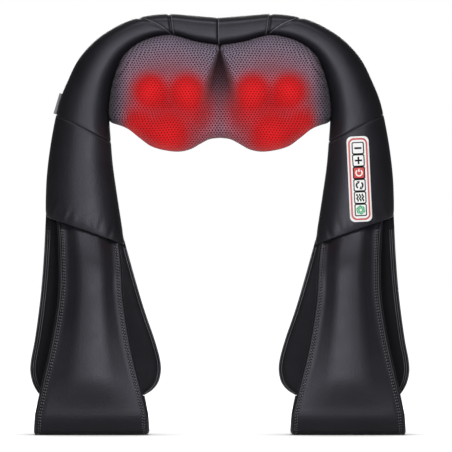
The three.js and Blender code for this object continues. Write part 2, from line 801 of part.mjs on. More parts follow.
function panelBezel() {
  const outline = roundedRectangle(BEZEL.width, BEZEL.height, BEZEL.corner);
  let bezel = solid(slab(outline, [BEZEL.front, BEZEL.back]));
  const half = BUTTON_SIZE / 2 + GAP;
  for (let i = 0; i < BUTTONS.length; i++) {
    const z = buttonZ(i);
    bezel = bezel.subtract(box([-half, half], [-10, 10], [z - half, z + half]));
  }
  return bezel;
}

function panelTray() {
  const block = (inset, span) => {
    const x = TRAY.width / 2 - inset;
    const z = TRAY.height / 2 - inset;
    return box([-x, x], span, [-z, z]);
  };
  return block(0, [0, TRAY.depth]).subtract(block(TRAY.wall, [-5, TRAY.depth - TRAY.wall]));
}

function controlBoard() {
  const x = BOARD.width / 2;
  const half = BOARD.switchSize / 2;
  let board = box([-x, x], [BOARD.front, BOARD.back], [-BOARD.height / 2, BOARD.height / 2]);
  for (let i = 0; i < BUTTONS.length; i++) {
    const z = buttonZ(i);
    const span = [BOARD.switchFront, BOARD.front + GAP];
    board = board.add(box([-half, half], span, [z - half, z + half]));
  }
  return board;
}

function button(index) {
  const z = buttonZ(index);
  const flange = BUTTON_SIZE / 2 + 0.5;
  const cap = solid(
    slab(roundedRectangle(BUTTON_SIZE, BUTTON_SIZE, 1), [BEZEL.front - BUTTON_PROUD, 0.5], 1),
  );
  return cap.translate([0, 0, z]).add(box([-flange, flange], [0, 1.2], [z - flange, z + flange]));
}

// ---- Power socket, side tag and zip ----
function powerSocket() {
  const [x, z] = SOCKET_PLACE;
  return cylinder(SOCKET.radius, [13, ARM_DEPTH + 1], x, z)
    .add(cylinder(SOCKET.flange, [ARM_DEPTH + 0.5, ARM_DEPTH + 2], x, z, 20))
    .subtract(cylinder(SOCKET.bore, [16, 40], x, z, 12))
    .add(cylinder(SOCKET.pin, [15, ARM_DEPTH], x, z, 8));
}

function sideTag() {
  const at = TAG.at / EDGE_COUNT;
  const place = outerEdge.getPoint(at);
  const along = outerEdge.getTangent(at);
  const tag = new THREE.BoxGeometry(TAG.width, TAG.thickness, TAG.length);
  tag.translate(TAG.width / 2 + GAP, 0, 0).rotateY(Math.atan2(-along.x, -along.z));
  return tag.translate(place.x, 0, place.z).rotateZ(Math.PI);
}

function zipTape() {
  const y = BACK_PANEL_Y[1] + GAP;
  const tape = box([-ZIP_HALF, ZIP_HALF], [y, y + 0.8], [ZIP_Z - 7, ZIP_Z + 7]);
  return tape.add(box([-ZIP_HALF + 1, ZIP_HALF - 1], [y, y + 2], [ZIP_Z - 1.6, ZIP_Z + 1.6]));
}

function zipSlider() {
  const y = BACK_PANEL_Y[1] + GAP + 0.8 + GAP;
  const body = box([ZIP_SLIDER_X - 5, ZIP_SLIDER_X + 5], [y, y + 3.2], [ZIP_Z - 4, ZIP_Z + 4]);
  const groove = box([-200, 200], [y - 1, y + 1.5], [ZIP_Z - 2, ZIP_Z + 2]);
  return body.subtract(groove);
}

function zipPull() {
  const y = BACK_PANEL_Y[1] + GAP + 0.8 + GAP + 3.2 + GAP;
  const tab = solid(slab(roundedRectangle(5, 19, 2.2), [y, y + 1.2], 2));
  const hole = cylinder(1.1, [0, 60], 0, -6, 8);
  return tab.subtract(hole).translate([ZIP_SLIDER_X, 0, ZIP_Z - 8]);
}

// ---- Assembly ----
const massager = new THREE.Group();
massager.position.y = PAD_MID_Y;

function add(parent, name, shape, material) {
  const geometry = shape.isBufferGeometry ? shape : geometryOf(shape);
  const mesh = new THREE.Mesh(geometry, material);
  mesh.name = name;
  parent.add(mesh);
}

const SIDES = { left: -1, right: 1 };
const leather = MATERIALS.leather;

const collarOuter = collarShape(0);
const collarInner = collarShape(COVER, ARM_DEPTH);
add(massager, "collar_cover_front", collarOuter.subtract(collarInner).intersect(infront), leather);
add(massager, "collar_cover_back", collarOuter.subtract(collarInner).intersect(behind), leather);
add(massager, "collar_pad", collarShape(COVER + GAP), MATERIALS.foam);
add(massager, "mesh_cover", meshCover(), MATERIALS.mesh);
add(massager, "back_panel", slab(zoneShape(0.985), BACK_PANEL_Y), leather);
add(massager, "back_pad", backPad(), MATERIALS.foam);
add(massager, "side_tag", sideTag(), MATERIALS.tag);
add(massager, "zip_tape", zipTape(), MATERIALS.zip);
add(massager, "zip_slider", zipSlider(), MATERIALS.steel);
add(massager, "zip_pull", zipPull(), MATERIALS.steel);

for (const [name, side] of Object.entries(SIDES)) {
  const hasPanel = side > 0;
  let outer = armShape(side, 0);
  let pad = armShape(side, COVER + GAP, COVER + GAP);
  let hollow = armShape(side, COVER, COVER);
  if (hasPanel) {
    const socketHole = cylinder(SOCKET.radius + GAP, [12.7, 40], ...SOCKET_PLACE);
    const holes = panelPocket().add(socketHole);
    outer = outer.subtract(holes);
    pad = pad.subtract(holes);
  }
  const cover = outer.subtract(hollow);
  add(massager, `${name}_arm_cover_front`, cover.intersect(infront), leather);
  add(massager, `${name}_arm_cover_back`, cover.intersect(behind), leather);
  add(massager, `${name}_arm_pad`, pad, MATERIALS.foam);
  add(massager, `${name}_hand_strap`, handStrap(side), leather);
  add(massager, `${name}_wing`, wing(side), MATERIALS.lining);
}

add(massager, "gearbox_front", gearboxFront(), MATERIALS.housing);
add(massager, "gearbox_rear", gearboxRear(), MATERIALS.housing);
SCREW_PLACES.forEach((place, i) => {
  add(massager, `gearbox_screw_${i + 1}`, gearboxScrew(place), MATERIALS.steel);
});
add(massager, "motor_can", motorCan(), MATERIALS.steel);
add(massager, "motor_end_cap", motorEndCap(), MATERIALS.plastic);
add(massager, "motor_armature", motorArmature(), MATERIALS.steel);
add(massager, "worm", worm(), MATERIALS.brass);

for (const [name, side] of Object.entries(SIDES)) {
  const pin = cylinder(PIN_RADIUS, BOX_Y, side * IDLER_X, ROTOR_Z, 12);
  add(massager, `${name}_bush`, bush(side), MATERIALS.brass);
  add(massager, `${name}_idler_pin`, pin, MATERIALS.steel);
  add(massager, `${name}_idler_gear`, idlerGear(side), MATERIALS.nylon);
  add(massager, `${name}_output_gear`, outputGear(side), MATERIALS.nylon);
  add(massager, `${name}_head_carrier`, carrier(side), MATERIALS.carrier);
  add(massager, `${name}_head_cap`, headCap(side), MATERIALS.steel);
  for (let k = 0; k < 4; k++) {
    const large = k % 2 === 1;
    const kind = large ? "large" : "small";
    const number = k < 2 ? 1 : 2;
    const node = massageNode(side, k, large ? LARGE_NODE : SMALL_NODE);
    add(massager, `${name}_${kind}_node_${number}`, node, MATERIALS.node);
  }
}

massager.add(panel);
add(panel, "panel_bezel", panelBezel(), MATERIALS.bezel);
add(panel, "panel_tray", panelTray(), MATERIALS.plastic);
add(panel, "control_board", controlBoard(), MATERIALS.board);
BUTTONS.forEach((name, i) => {
  const key = name === "power" ? MATERIALS.powerKey : MATERIALS.key;
  add(panel, `button_${name}`, button(i), key);
});
add(massager, "power_socket", powerSocket(), MATERIALS.plastic);

export default massager;
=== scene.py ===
"""A U-shaped shiatsu neck and shoulder massager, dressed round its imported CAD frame.

Shapes are worked out in millimetres, in the frame's axes: +Z up, -Y to the wearer's neck, +X to the
control panel. mesh_object() turns them into metres."""

import math

import bpy
import numpy as np
from mathutils import Matrix, Vector
from mathutils.bvhtree import BVHTree


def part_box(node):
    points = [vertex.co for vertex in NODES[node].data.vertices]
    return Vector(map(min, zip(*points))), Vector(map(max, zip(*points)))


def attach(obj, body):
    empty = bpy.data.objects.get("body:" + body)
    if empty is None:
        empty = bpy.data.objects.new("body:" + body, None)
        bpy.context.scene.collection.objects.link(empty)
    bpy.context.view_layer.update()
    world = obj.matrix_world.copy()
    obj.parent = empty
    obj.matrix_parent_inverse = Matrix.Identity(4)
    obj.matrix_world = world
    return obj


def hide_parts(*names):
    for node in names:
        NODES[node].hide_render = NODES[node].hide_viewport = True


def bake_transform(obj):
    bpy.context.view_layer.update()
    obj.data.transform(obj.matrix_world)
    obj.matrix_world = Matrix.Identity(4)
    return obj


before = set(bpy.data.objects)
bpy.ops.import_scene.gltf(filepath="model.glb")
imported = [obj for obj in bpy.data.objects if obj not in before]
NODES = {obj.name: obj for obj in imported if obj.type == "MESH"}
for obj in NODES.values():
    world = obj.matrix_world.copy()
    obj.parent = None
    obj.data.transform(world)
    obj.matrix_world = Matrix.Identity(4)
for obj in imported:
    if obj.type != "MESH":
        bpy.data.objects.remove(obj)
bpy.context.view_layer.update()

MM = 0.001
SIDES = {"left": -1, "right": 1}


def box_mm(name):
    """Lowest and highest corner of a CAD node, in millimetres."""
    low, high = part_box(name)
    return np.array(low) / MM, np.array(high) / MM


# ---- Driving dimensions ----
MIDDLE_Y = (box_mm("collar_cover_front")[1][1] + box_mm("collar_cover_back")[0][1]) / 2
COLLAR_DEPTH = 27.0  # half depth of the collar at the top
ARM_DEPTH = 25.0  # half depth of an arm
COLLAR_SQUARENESS, ARM_SQUARENESS = 3.8, 2.6  # exponent of the pads' rounded section

# Outer x, outer z, inner x, inner z of the right half of the pad, from the middle down to the arm's end.
PAD_EDGES = np.array([
    [0, 439, 0, 408.5],
    [27, 441, 25, 412.5],
    [53.5, 443, 50, 419],
    [82, 440, 68, 417.2],
    [106, 431.5, 86, 410],
    [130, 416, 100, 397.5],
    [149, 395, 109, 378],
    [161, 371, 114.5, 354],
    [168, 354, 115.8, 333],
    [172.5, 337, 114.2, 308],
    [178.8, 303, 112.3, 284],
    [182.8, 268, 107.5, 250],
    [183.8, 229.5, 99.5, 199.5],
])
EDGE_COUNT = len(PAD_EDGES) - 1
CENTRE_SEAM = -0.009  # places along the pad, from 0 in the middle to 1 at an arm's end
COLLAR_SEAM = 2 / EDGE_COUNT
ARM_SEAM = 9 / EDGE_COUNT
MESH_END = 8 / EDGE_COUNT
DIAGONAL_SEAM = np.array([[88, 440], [81.3, 437.6], [71, 433.6], [60.7, 427.8], [52, 420.5]])
SEAM_WIDTH = 1.9  # how near a seam the cover is held down
COVER_INSET, SWELL_MOST = 0.3, 3.4  # how far a cover starts inside the pad's outline, and how far it swells
RING_COUNT = 48  # points round a leather cover

# x and z of the mesh cover's hem, from the middle outwards.
HEM = np.array([
    [0, 313], [11, 311.5], [21, 306.5], [31, 301], [42, 298.5], [56, 299.5], [72, 304], [84, 312.5],
    [97, 322.5], [112, 328.5]])
MESH_EDGE_Y = -4.0
MESH_SWELL = 33.0
MESH_BACK_Y = 23.5
FOLD_TOP, FOLD_SPREAD = 407.0, 0.38  # z where the mesh's middle fold starts, and how fast it widens
ROTOR_X, ROTOR_Z = 56.0, 344.5
NODE_RING = 24.0
NODE_TURN = 36.0

BAND = 8.0  # thickness of a hand strap and of a wing
LOOP_FRONT_Y, LOOP_BACK_Y = -39.5, 36.0
LOOP_BEND = 18.0
LOOP_LOW_Z = LOOP_BEND + BAND / 2
STITCH_PITCH = 3.1
# Outer x, outer z, inner x, inner z, y of a band's middle plane, from the arm's end downwards.
STRAP_ROWS = np.array([
    [171.6, 230, 105.6, 205.8, -8],
    [169.3, 187, 102.3, 175, -23.5],
    [169.5, 150, 101, 147, -28],
    [173.5, 118, 97.3, 118, -32.5],
    [180, 84, 91, 84, -36.5],
    [187.5, 52, 83, 52, -39],
    [194, LOOP_LOW_Z, 75.5, LOOP_LOW_Z, LOOP_FRONT_Y],
])
WING_ROWS = np.array([
    [183.2, 234, 100.6, 204.4, 20.4],
    [185.4, 190, 95, 184, 24],
    [187.7, 159, 88, 159, 27],
    [191.1, 128.6, 78.8, 128.6, 30.5],
    [195.4, 98.4, 68.4, 98.4, 33.6],
    [199.4, 77, 62.8, 77, 35.4],
    [200, 66, 62.2, 66, 35.8],
    [197.5, 54, 65.2, 54, LOOP_BACK_Y],
    [193.5, 46, 71.8, 46, LOOP_BACK_Y],
    [190, 41.3, 79.4, 41.3, LOOP_BACK_Y],
])

PANEL_TILT = math.radians(-2.7)
BEZEL_SIZE = 23.5, 90.0
BUTTONS = ["minus", "plus", "power", "direction", "heat", "speed"]


# ---- Camera and light ----
def add_object(name, data):
    made = bpy.data.objects.new(name, data)
    bpy.context.collection.objects.link(made)
    return made


def make_camera():
    """A very long lens, level with the middle of the object."""
    data = bpy.data.cameras.new("camera")
    data.lens = 1000.0
    data.sensor_width = 36.0
    view_width, aim = 0.4746, Vector((0.0065, -0.02, 0.2195))
    camera = add_object("camera", data)
    camera.location = aim - Vector((0, view_width * data.lens / data.sensor_width, 0))
    camera.rotation_euler = (math.pi / 2, 0, 0)
    bpy.context.scene.camera = camera


def area_light(name, place, target, size, power):
    data = bpy.data.lights.new(name, "AREA")
    data.shape = "RECTANGLE"
    data.size, data.size_y = size
    data.energy = power
    light = add_object(name, data)
    light.location = place
    light.rotation_euler = (Vector(target) - Vector(place)).to_track_quat("-Z", "Y").to_euler()


def make_studio():
    """A soft key in front, a light above it, a low rear light, and a world that is dark at the sides."""
    middle = (0, 0, 0.25)
    area_light("key", (0.0, -0.95, 0.27), (0, 0, 0.22), (0.17, 0.34), 3.1)
    area_light("high", (0.0, -0.8, 1.25), middle, (0.7, 0.3), 5.0)
    area_light("rear", (0.0, 2.2, 0.8), middle, (1.2, 0.7), 14)
    world = bpy.data.worlds.new("studio")
    world.use_nodes = True
    sky = Nodes(world.node_tree)
    sideways = sky.math("ABSOLUTE", sky.axes(sky.add("ShaderNodeTexCoord").outputs["Generated"])["X"])
    fade = sky.add("ShaderNodeMapRange", Value=sideways, From_Min=0.1, From_Max=0.5,
                   To_Min=0.42, To_Max=0.08)
    seen = sky.add("ShaderNodeLightPath").outputs["Is Camera Ray"]
    background = sky.tree.nodes["Background"].inputs
    sky.put(background["Strength"], sky.math("MAXIMUM", fade.outputs["Result"], seen))
    sky.put(background["Color"], (1, 1, 1, 1))
    bpy.context.scene.world = world
    bpy.context.scene.view_settings.view_transform = "Standard"


# ---- Materials ----
MATERIALS = {}


def linear(hexadecimal):
    """A colour written as on the web, as the linear numbers that a shader takes."""
    def channel(value):
        value /= 255
        return value / 12.92 if value <= 0.04045 else ((value + 0.055) / 1.055) ** 2.4
    return (*(channel(int(hexadecimal[i:i + 2], 16)) for i in (1, 3, 5)), 1.0)


class Nodes:
    """A node tree under construction, with short ways to add to it."""

    def __init__(self, tree):
        self.tree = tree

    def add(self, kind, settings=None, **inputs):
        """A new node. An input is named with _ for a blank, or by its number after at."""
        node = self.tree.nodes.new(kind)
        for name, value in (settings or {}).items():
            setattr(node, name, value)
        for name, value in inputs.items():
            index = int(name[2:]) if name.startswith("at") else name.replace("_", " ")
            self.put(node.inputs[index], value)
        return node

    def put(self, socket, value):
        if isinstance(value, bpy.types.NodeSocket):
            self.tree.links.new(value, socket)
        else:
            socket.default_value = value

    def axes(self, place):
        return self.add("ShaderNodeSeparateXYZ", Vector=place).outputs

    def math(self, operation, a, b=0.0):
        return self.add("ShaderNodeMath", {"operation": operation}, at0=a, at1=b).outputs[0]

    def times(self, a, b):
        return self.math("MULTIPLY", a, b)

    def vector(self, operation, a, b=(0.0, 0.0, 0.0)):
        node = self.add("ShaderNodeVectorMath", {"operation": operation}, at0=a, at1=b)
        return node.outputs["Value" if operation in ("LENGTH", "DISTANCE") else "Vector"]

    def between(self, value, low, high, to_low=0.0, to_high=1.0):
        node = self.add("ShaderNodeMapRange", {"interpolation_type": "SMOOTHSTEP"}, Value=value,
                        From_Min=low, From_Max=high, To_Min=to_low, To_Max=to_high)
        return node.outputs["Result"]

    def mix(self, share, a, b):
        return self.add("ShaderNodeMix", {"data_type": "RGBA"}, Factor=share, at6=a, at7=b).outputs[2]


class Material(Nodes):
    """A node material, textured in the object's own space."""

    def __init__(self, name, roughness, **constants):
        MATERIALS[name] = bpy.data.materials.new(name)
        MATERIALS[name].use_nodes = True
        super().__init__(MATERIALS[name].node_tree)
        self.shader = self.tree.nodes["Principled BSDF"].inputs
        self.set(Roughness=roughness, **constants)
        self.place = self.add("ShaderNodeTexCoord").outputs["Object"]

    def noise(self, scale, detail=2.0, place=None):
        node = self.add("ShaderNodeTexNoise", Vector=place or self.place, Scale=scale, Detail=detail)
        return node.outputs["Fac"]

    def cells(self, scale, feature="F1"):
        node = self.add("ShaderNodeTexVoronoi", {"feature": feature}, Vector=self.place, Scale=scale)
        return node.outputs["Distance"]

    def set(self, **sockets):
        for name, value in sockets.items():
            self.put(self.shader[name.replace("_", " ")], value)

    def bump(self, height, distance, strength=1.0):
        node = self.add("ShaderNodeBump", Height=height, Strength=strength, Distance=distance)
        self.set(Normal=node.outputs["Normal"])


def leather(name, dark, light, roughness, grain=1.0, gloss=0.5):
    """Soft coated leather: fine pebbled grain, faint cloudy colour and worn, smoother patches."""
    violet = (0.88, 0.85, 1.0, 1.0)
    made = Material(name, roughness, IOR=1.46, Specular_IOR_Level=gloss, Specular_Tint=violet)
    pebbles = made.cells(1150, "SMOOTH_F1")
    creases = made.noise(420, 4.0)
    clouds = made.noise(24, 3.0)
    made.set(Base_Color=made.mix(made.between(clouds, 0.3, 0.7), linear(dark), linear(light)))
    made.set(Roughness=made.between(made.noise(60, 3.0), 0.3, 0.7, roughness - 0.015, roughness + 0.02))
    height = made.math("ADD", pebbles, made.times(creases, 0.7))
    made.bump(height, 0.00022, 0.42 * grain)


def foam():
    made = Material("foam", 0.95)
    holes = made.cells(700)
    made.set(Base_Color=made.mix(made.between(holes, 0.1, 0.5), linear("#4a4a48"), linear("#7a7a76")))
    made.bump(holes, 0.0004, 0.8)


# x, z, radius in millimetres and brightness of the spots of painted red glow on one half of the mesh,
# standing in for the nodes' lights behind it.
GLOWS = [(33, 363, 26, 0.52), (74, 363, 26, 0.52), (90, 324, 28, 0.32), (54, 309, 32, 0.38),
         (20, 342, 30, 0.15), (55, 335, 84, 0.5)]
HOLE_PITCH = 3.1
STRETCH_SHARE = 0.35  # how much the holes spread where the mesh slopes


def hole_distance(made):
    """Distance from the nearest hole of a staggered grid, in steps of the grid, from the UV map."""
    row_height = 1.55
    flat = made.add("ShaderNodeTexCoord").outputs["UV"]
    squeezed = made.vector("MULTIPLY", flat, (1.0, 1 / row_height, 0.0))
    nearest = []
    for shift in (0.0, 0.5):
        cell = made.vector("FRACTION", made.vector("ADD", squeezed, (shift, shift, 0.0)))
        offset = made.vector("SUBTRACT", cell, (0.5, 0.5, 0.0))
        nearest.append(made.vector("LENGTH", made.vector("MULTIPLY", offset, (1.0, row_height, 0.0))))
    return made.math("MINIMUM", *nearest)


def painted_red_glow(made):
    """How much painted red glow the sheet gets, from 0 to 1: painted light that stands in for the nodes' red
    light coming through, fixed where the nodes sit at rest.
    """
    parts = made.axes(made.place)
    half = made.math("ABSOLUTE", parts["X"])
    here = made.add("ShaderNodeCombineXYZ", X=half, Z=parts["Z"]).outputs[0]
    total = None
    for x, z, radius, brightness in GLOWS:
        away = made.vector("DISTANCE", here, (x * MM, 0.0, z * MM))
        light = made.between(away, 0.0, radius * MM, brightness, 0.0)
        total = light if total is None else made.math("ADD", total, light)
    forward = made.between(parts["Y"], -0.012, 0.004, 1.0, 0.0)
    inward = made.between(half, 0.092, 0.111, 1.0, 0.0)
    return made.times(made.math("MINIMUM", total, 1.0), made.times(forward, inward))


def fold_shade(made):
    """How much painted shade darkens the sheet in its middle fold, from 0 to 1: a wedge that widens
    downwards and fades.
    """
    parts = made.axes(made.place)
    below_top = made.math("SUBTRACT", FOLD_TOP * MM, parts["Z"])
    width = made.math("MAXIMUM", made.times(below_top, FOLD_SPREAD), 0.0012)
    inside = made.between(made.math("DIVIDE", made.math("ABSOLUTE", parts["X"]), width), 0.5, 1.2, 1.0, 0.0)
    return made.times(inside, made.between(parts["Z"], 0.31, 0.395, 0.0, 0.95))


def spacer_mesh():
    """Grey-violet spacer knit with small staggered holes, with a painted red glow over the nodes that stands
    in for their light from behind.
    """
    made = Material("spacer_mesh", 0.8, Specular_IOR_Level=0.2, Sheen_Weight=0.08, Sheen_Roughness=0.5)
    away = hole_distance(made)
    open_share = made.between(away, 0.18, 0.34, 1.0, 0.0)
    knit = made.noise(1500, 2.0)
    light = painted_red_glow(made)
    yarn = made.mix(made.between(knit, 0.3, 0.7), linear("#6f6272"), linear("#938699"))
    # Painted glow: the yarn is tinted red where the nodes' light would come through.
    warm = made.mix(made.between(light, 0.0, 0.6), yarn, linear("#8e1218"))
    # Painted shade: the sheet is darkened towards its ends beside the arms, where it turns away from the
    # light and lies in the arms' shadow.
    sideways = made.math("ABSOLUTE", made.axes(made.place)["X"])
    warm = made.mix(made.between(sideways, 0.094, 0.113, 0.0, 0.6), warm, linear("#2a2430"))
    # Painted shade in the middle fold, in a dark red-brown; it also dims the painted glow there.
    shade = fold_shade(made)
    shaded = made.mix(shade, warm, linear("#2a0f16"))
    # The holes are dark, painted dark red where the painted glow falls.
    made.set(Base_Color=made.mix(open_share, shaded, made.mix(light, linear("#0e0b10"), linear("#2c0406"))))
    # Painted glow: red emission over the nodes, stronger on the yarn than in the holes and dimmed in the
    # fold's painted shade.
    shine = made.times(light, made.between(away, 0.05, 0.38, 0.25, 1.0))
    kept = made.math("SUBTRACT", 1.0, made.times(shade, 0.45))
    made.set(Emission_Color=linear("#ff1418"), Emission_Strength=made.times(shine, made.times(kept, 0.7)))
    height = made.math("ADD", made.between(away, 0.1, 0.4), made.times(knit, 0.3))
    made.bump(height, 0.0006, 0.8)


def woven(name, dark, light, pitch_mm=0.5):
    """Plain woven tape: two crossed waves."""
    made = Material(name, 0.85)
    parts = made.axes(made.place)
    turns = math.tau / (pitch_mm * MM)
    waves = [made.math("SINE", made.times(parts[axis], turns)) for axis in ("X", "Z")]
    weave = made.times(*waves)
    made.set(Base_Color=made.mix(made.between(weave, -0.6, 0.6), linear(dark), linear(light)))
    made.bump(weave, 0.0002, 0.6)


def metal(name, colour, roughness):
    """Turned or plated metal with fine streaks and slight tarnish."""
    made = Material(name, roughness, Metallic=1.0)
    stretched = made.vector("MULTIPLY", made.place, (300.0, 300.0, 2500.0))
    streaks = made.noise(1.0, 3.0, stretched)
    tarnish = made.noise(90, 3.0)
    base = linear(colour)
    darker = tuple(0.72 * c for c in base[:3]) + (1.0,)
    made.set(Base_Color=made.mix(made.between(tarnish, 0.35, 0.75), base, darker))
    made.set(Roughness=made.between(streaks, 0.3, 0.7, roughness - 0.06, roughness + 0.1))
    made.bump(streaks, 0.00003, 0.5)


def plastic(name, colour, roughness, texture=0.00005, clouds=0.06, **constants):
    """Moulded plastic: fine spark texture and slight variation of tone."""
    made = Material(name, roughness, **constants)
    base = linear(colour)
    lighter = tuple(min(1.0, c * (1 + clouds) + clouds * 0.02) for c in base[:3]) + (1.0,)
    made.set(Base_Color=made.mix(made.noise(70, 2.0), base, lighter))
    made.set(Roughness=made.between(made.noise(200, 3.0), 0.3, 0.7, roughness - 0.03, roughness + 0.05))
    made.bump(made.noise(3000, 2.0), texture, 0.4)


def circuit_board():
    made = Material("circuit_board", 0.35)
    tracks = made.add("ShaderNodeTexBrick", Vector=made.place, Scale=260.0, Color1=linear("#1c5a34"),
                      Color2=linear("#226a3e"), Mortar=linear("#3f8a5a"))
    made.set(Base_Color=tracks.outputs["Color"])
    made.bump(tracks.outputs["Fac"], 0.00005, 0.5)


def heated_node():
    """Red translucent cap, lit from inside, its glow varying in soft patches."""
    made = Material("heated_node", 0.3, Transmission_Weight=0.15)
    made.set(Base_Color=made.mix(made.noise(150, 2.0), linear("#b8141a"), linear("#d92a26")))
    glow = made.between(made.noise(60, 1.0), 0.2, 0.8, 0.5, 0.8)
    made.set(Emission_Color=linear("#ff2018"), Emission_Strength=glow)
    made.bump(made.noise(2500, 1.0), 0.00003, 0.3)


def make_materials():
    leather("leather", "#161619", "#1c1c20", 0.42)
    # The lining's base colour is set darker than the leather as painted shade, for the wings that sit in
    # shadow behind the straps; its rougher, less glossy finish is its own.
    leather("lining", "#0e0e10", "#131316", 0.58, 0.7, 0.3)
    foam()
    spacer_mesh()
    woven("tag", "#8e9093", "#aaacae")
    woven("zip_tape", "#161618", "#26262a")
    metal("nickel", "#c4c4c8", 0.22)
    plastic("housing", "#d8d8d4", 0.55)
    metal("steel", "#a8abb0", 0.32)
    metal("brass", "#b89a58", 0.3)
    plastic("nylon", "#e9e6da", 0.45)
    plastic("black_plastic", "#17171a", 0.42, 0.00012)
    heated_node()
    plastic("white_gloss", "#fdfdfc", 0.16, 0.00001, 0.02, Coat_Weight=0.5, Coat_Roughness=0.08)
    plastic("white_key", "#fdfdfc", 0.2, 0.00001, 0.02, Coat_Weight=0.3, Coat_Roughness=0.1)
    plastic("red_key", "#cf1f1c", 0.22, 0.00001, 0.08, Coat_Weight=0.3, Coat_Roughness=0.1)
    circuit_board()
    woven("thread", "#747478", "#8c8c90", 0.3)
    # The cord's light grey is a painted highlight: it stands in for the light caught by the turned and bound
    # edges of the dark leather.
    leather("cord", "#5c5c60", "#77777b", 0.4, 0.6)
    leather("dark_cord", "#2c2c30", "#3a3a3e", 0.4, 0.6)
    plastic("ink", "#0c0c0d", 0.7, 0.00001, Specular_IOR_Level=0.1)
    plastic("red_ink", "#c5383b", 0.3, 0.00001)
    plastic("white_ink", "#f7f4f0", 0.35, 0.00001)
    plastic("green_ink", "#1fae6e", 0.5, 0.00001)


def dress_nodes():
    """Gives each CAD node the finish of its own slot."""
    for node in NODES.values():
        for slot in node.material_slots:
            slot_name = slot.material.name.split(".")[0]
            if slot_name in MATERIALS:
                slot.material = MATERIALS[slot_name]


# ---- Geometry ----
def catmull_rom(points, places):
    """Centripetal Catmull-Rom curve through points, at places from 0 to 1."""
    points = np.asarray(points, float)
    padded = np.vstack([2 * points[0] - points[1], points, 2 * points[-1] - points[-2]])
    along = np.asarray(places, float) * (len(points) - 1)
    first = np.clip(np.floor(along).astype(int), 0, len(points) - 2)
    share = (along - first)[..., None]
    p0, p1, p2, p3 = (padded[first + i] for i in range(4))
    pairs = ((p0, p1), (p1, p2), (p2, p3))
    d0, d1, d2 = (np.sqrt(np.linalg.norm(b - a, axis=-1))[..., None] for a, b in pairs)
    start = ((p1 - p0) / d0 - (p2 - p0) / (d0 + d1) + (p2 - p1) / d1) * d1
    end = ((p2 - p1) / d1 - (p3 - p1) / (d1 + d2) + (p3 - p2) / d2) * d1
    square = -3 * p1 + 3 * p2 - 2 * start - end
    cube = 2 * p1 - 2 * p2 + start + end
    return p1 + share * (start + share * (square + share * cube))


def smoothstep(value, low, high):
    share = np.clip((value - low) / (high - low), 0, 1)
    return share * share * (3 - 2 * share)


def past_box(x, z, half_width, half_height):
    """Distance of each x, z from a rectangle round the origin."""
    return np.hypot(np.maximum(np.abs(x) - half_width, 0), np.maximum(np.abs(z) - half_height, 0))


def unit(vectors):
    return vectors / np.linalg.norm(vectors, axis=-1, keepdims=True)


class Shape:
    """Points in millimetres and the faces between them, put together from several parts."""

    def __init__(self):
        self.points = []
        self.faces = []

    def add(self, points, faces):
        start = len(self.points)
        self.points.extend(np.asarray(points, float).tolist())
        self.faces.extend([[start + i for i in face] for face in faces])
        return self

    def mesh_object(self, name, material, smooth=True):
        mesh = bpy.data.meshes.new(name)
        mesh.from_pydata([[c * MM for c in point] for point in self.points], [], self.faces)
        mesh.polygons.foreach_set("use_smooth", [smooth] * len(mesh.polygons))
        mesh.materials.append(MATERIALS[material])
        mesh.update()
        return add_object(name, mesh)


def ring_faces(rings, count, closed=True):
    """Quads between rings of count points each."""
    faces = []
    for i in range(rings - 1):
        for j in range(count if closed else count - 1):
            a, b = i * count + j, i * count + (j + 1) % count
            faces.append([a, b, b + count, a + count])
    return faces


def closed_loft(rings):
    """A loft over rings (an array of rings, points, xyz) with flat ends, its faces pointing out."""
    count = rings.shape[1]
    points = rings.reshape(-1, 3)
    last = len(points) - count
    faces = ring_faces(len(rings), count)
    faces += [list(range(count))[::-1], list(range(last, last + count))]
    return facing_out(points, faces)


def facing_out(points, faces):
    volume = 0.0
    for face in faces:
        a = points[face[0]]
        for i, j in zip(face[1:-1], face[2:]):
            volume += np.dot(a, np.cross(points[i], points[j]))
    return points, faces if volume > 0 else [face[::-1] for face in faces]


def tube(points, radius, sides=6, closed=False):
    """A round cord through points."""
    points = np.asarray(points, float)
    if closed:
        ahead, behind = np.roll(points, -1, 0), np.roll(points, 1, 0)
    else:
        ahead, behind = np.vstack([points[1:], points[-1:]]), np.vstack([points[:1], points[:-1]])
    along = unit(ahead - behind)
    reference = np.array([0.31, 0.83, 0.47])
    side = unit(np.cross(along, reference))
    up = np.cross(side, along)
    angles = np.linspace(0, math.tau, sides, endpoint=False)
    rings = points[:, None] + radius * (
        np.cos(angles)[None, :, None] * side[:, None] + np.sin(angles)[None, :, None] * up[:, None])
    if closed:
        rings = np.concatenate([rings, rings[:1]])
        flat = rings[:-1].reshape(-1, 3)
        faces = [[i % len(flat) for i in face] for face in ring_faces(len(rings), sides)]
        return facing_out(flat, faces)
    return closed_loft(rings)


def add_stitches(shape, points, normals, length, radius, first):
    """Adds short arched thread segments along a line, the first of them at first pitches."""
    steps = np.linalg.norm(np.diff(points, axis=0), axis=1)
    travelled = np.concatenate([[0], np.cumsum(steps)])
    for middle in np.arange(first * STITCH_PITCH, travelled[-1] - STITCH_PITCH, STITCH_PITCH):
        ends = [middle - length / 2, middle, middle + length / 2]
        at = np.column_stack([np.interp(ends, travelled, points[:, k]) for k in range(3)])
        out = unit(np.array([np.interp(middle, travelled, normals[:, k]) for k in range(3)]))
        at[1] += out * radius * 0.7
        shape.add(*tube(at, radius, 5))


# ---- The pad ----
def pad_edges(place):
    """Outer and inner edge of the pad, as x and z, at a place."""
    return (catmull_rom(PAD_EDGES[:, k:k + 2], [abs(place)])[0] for k in (0, 2))


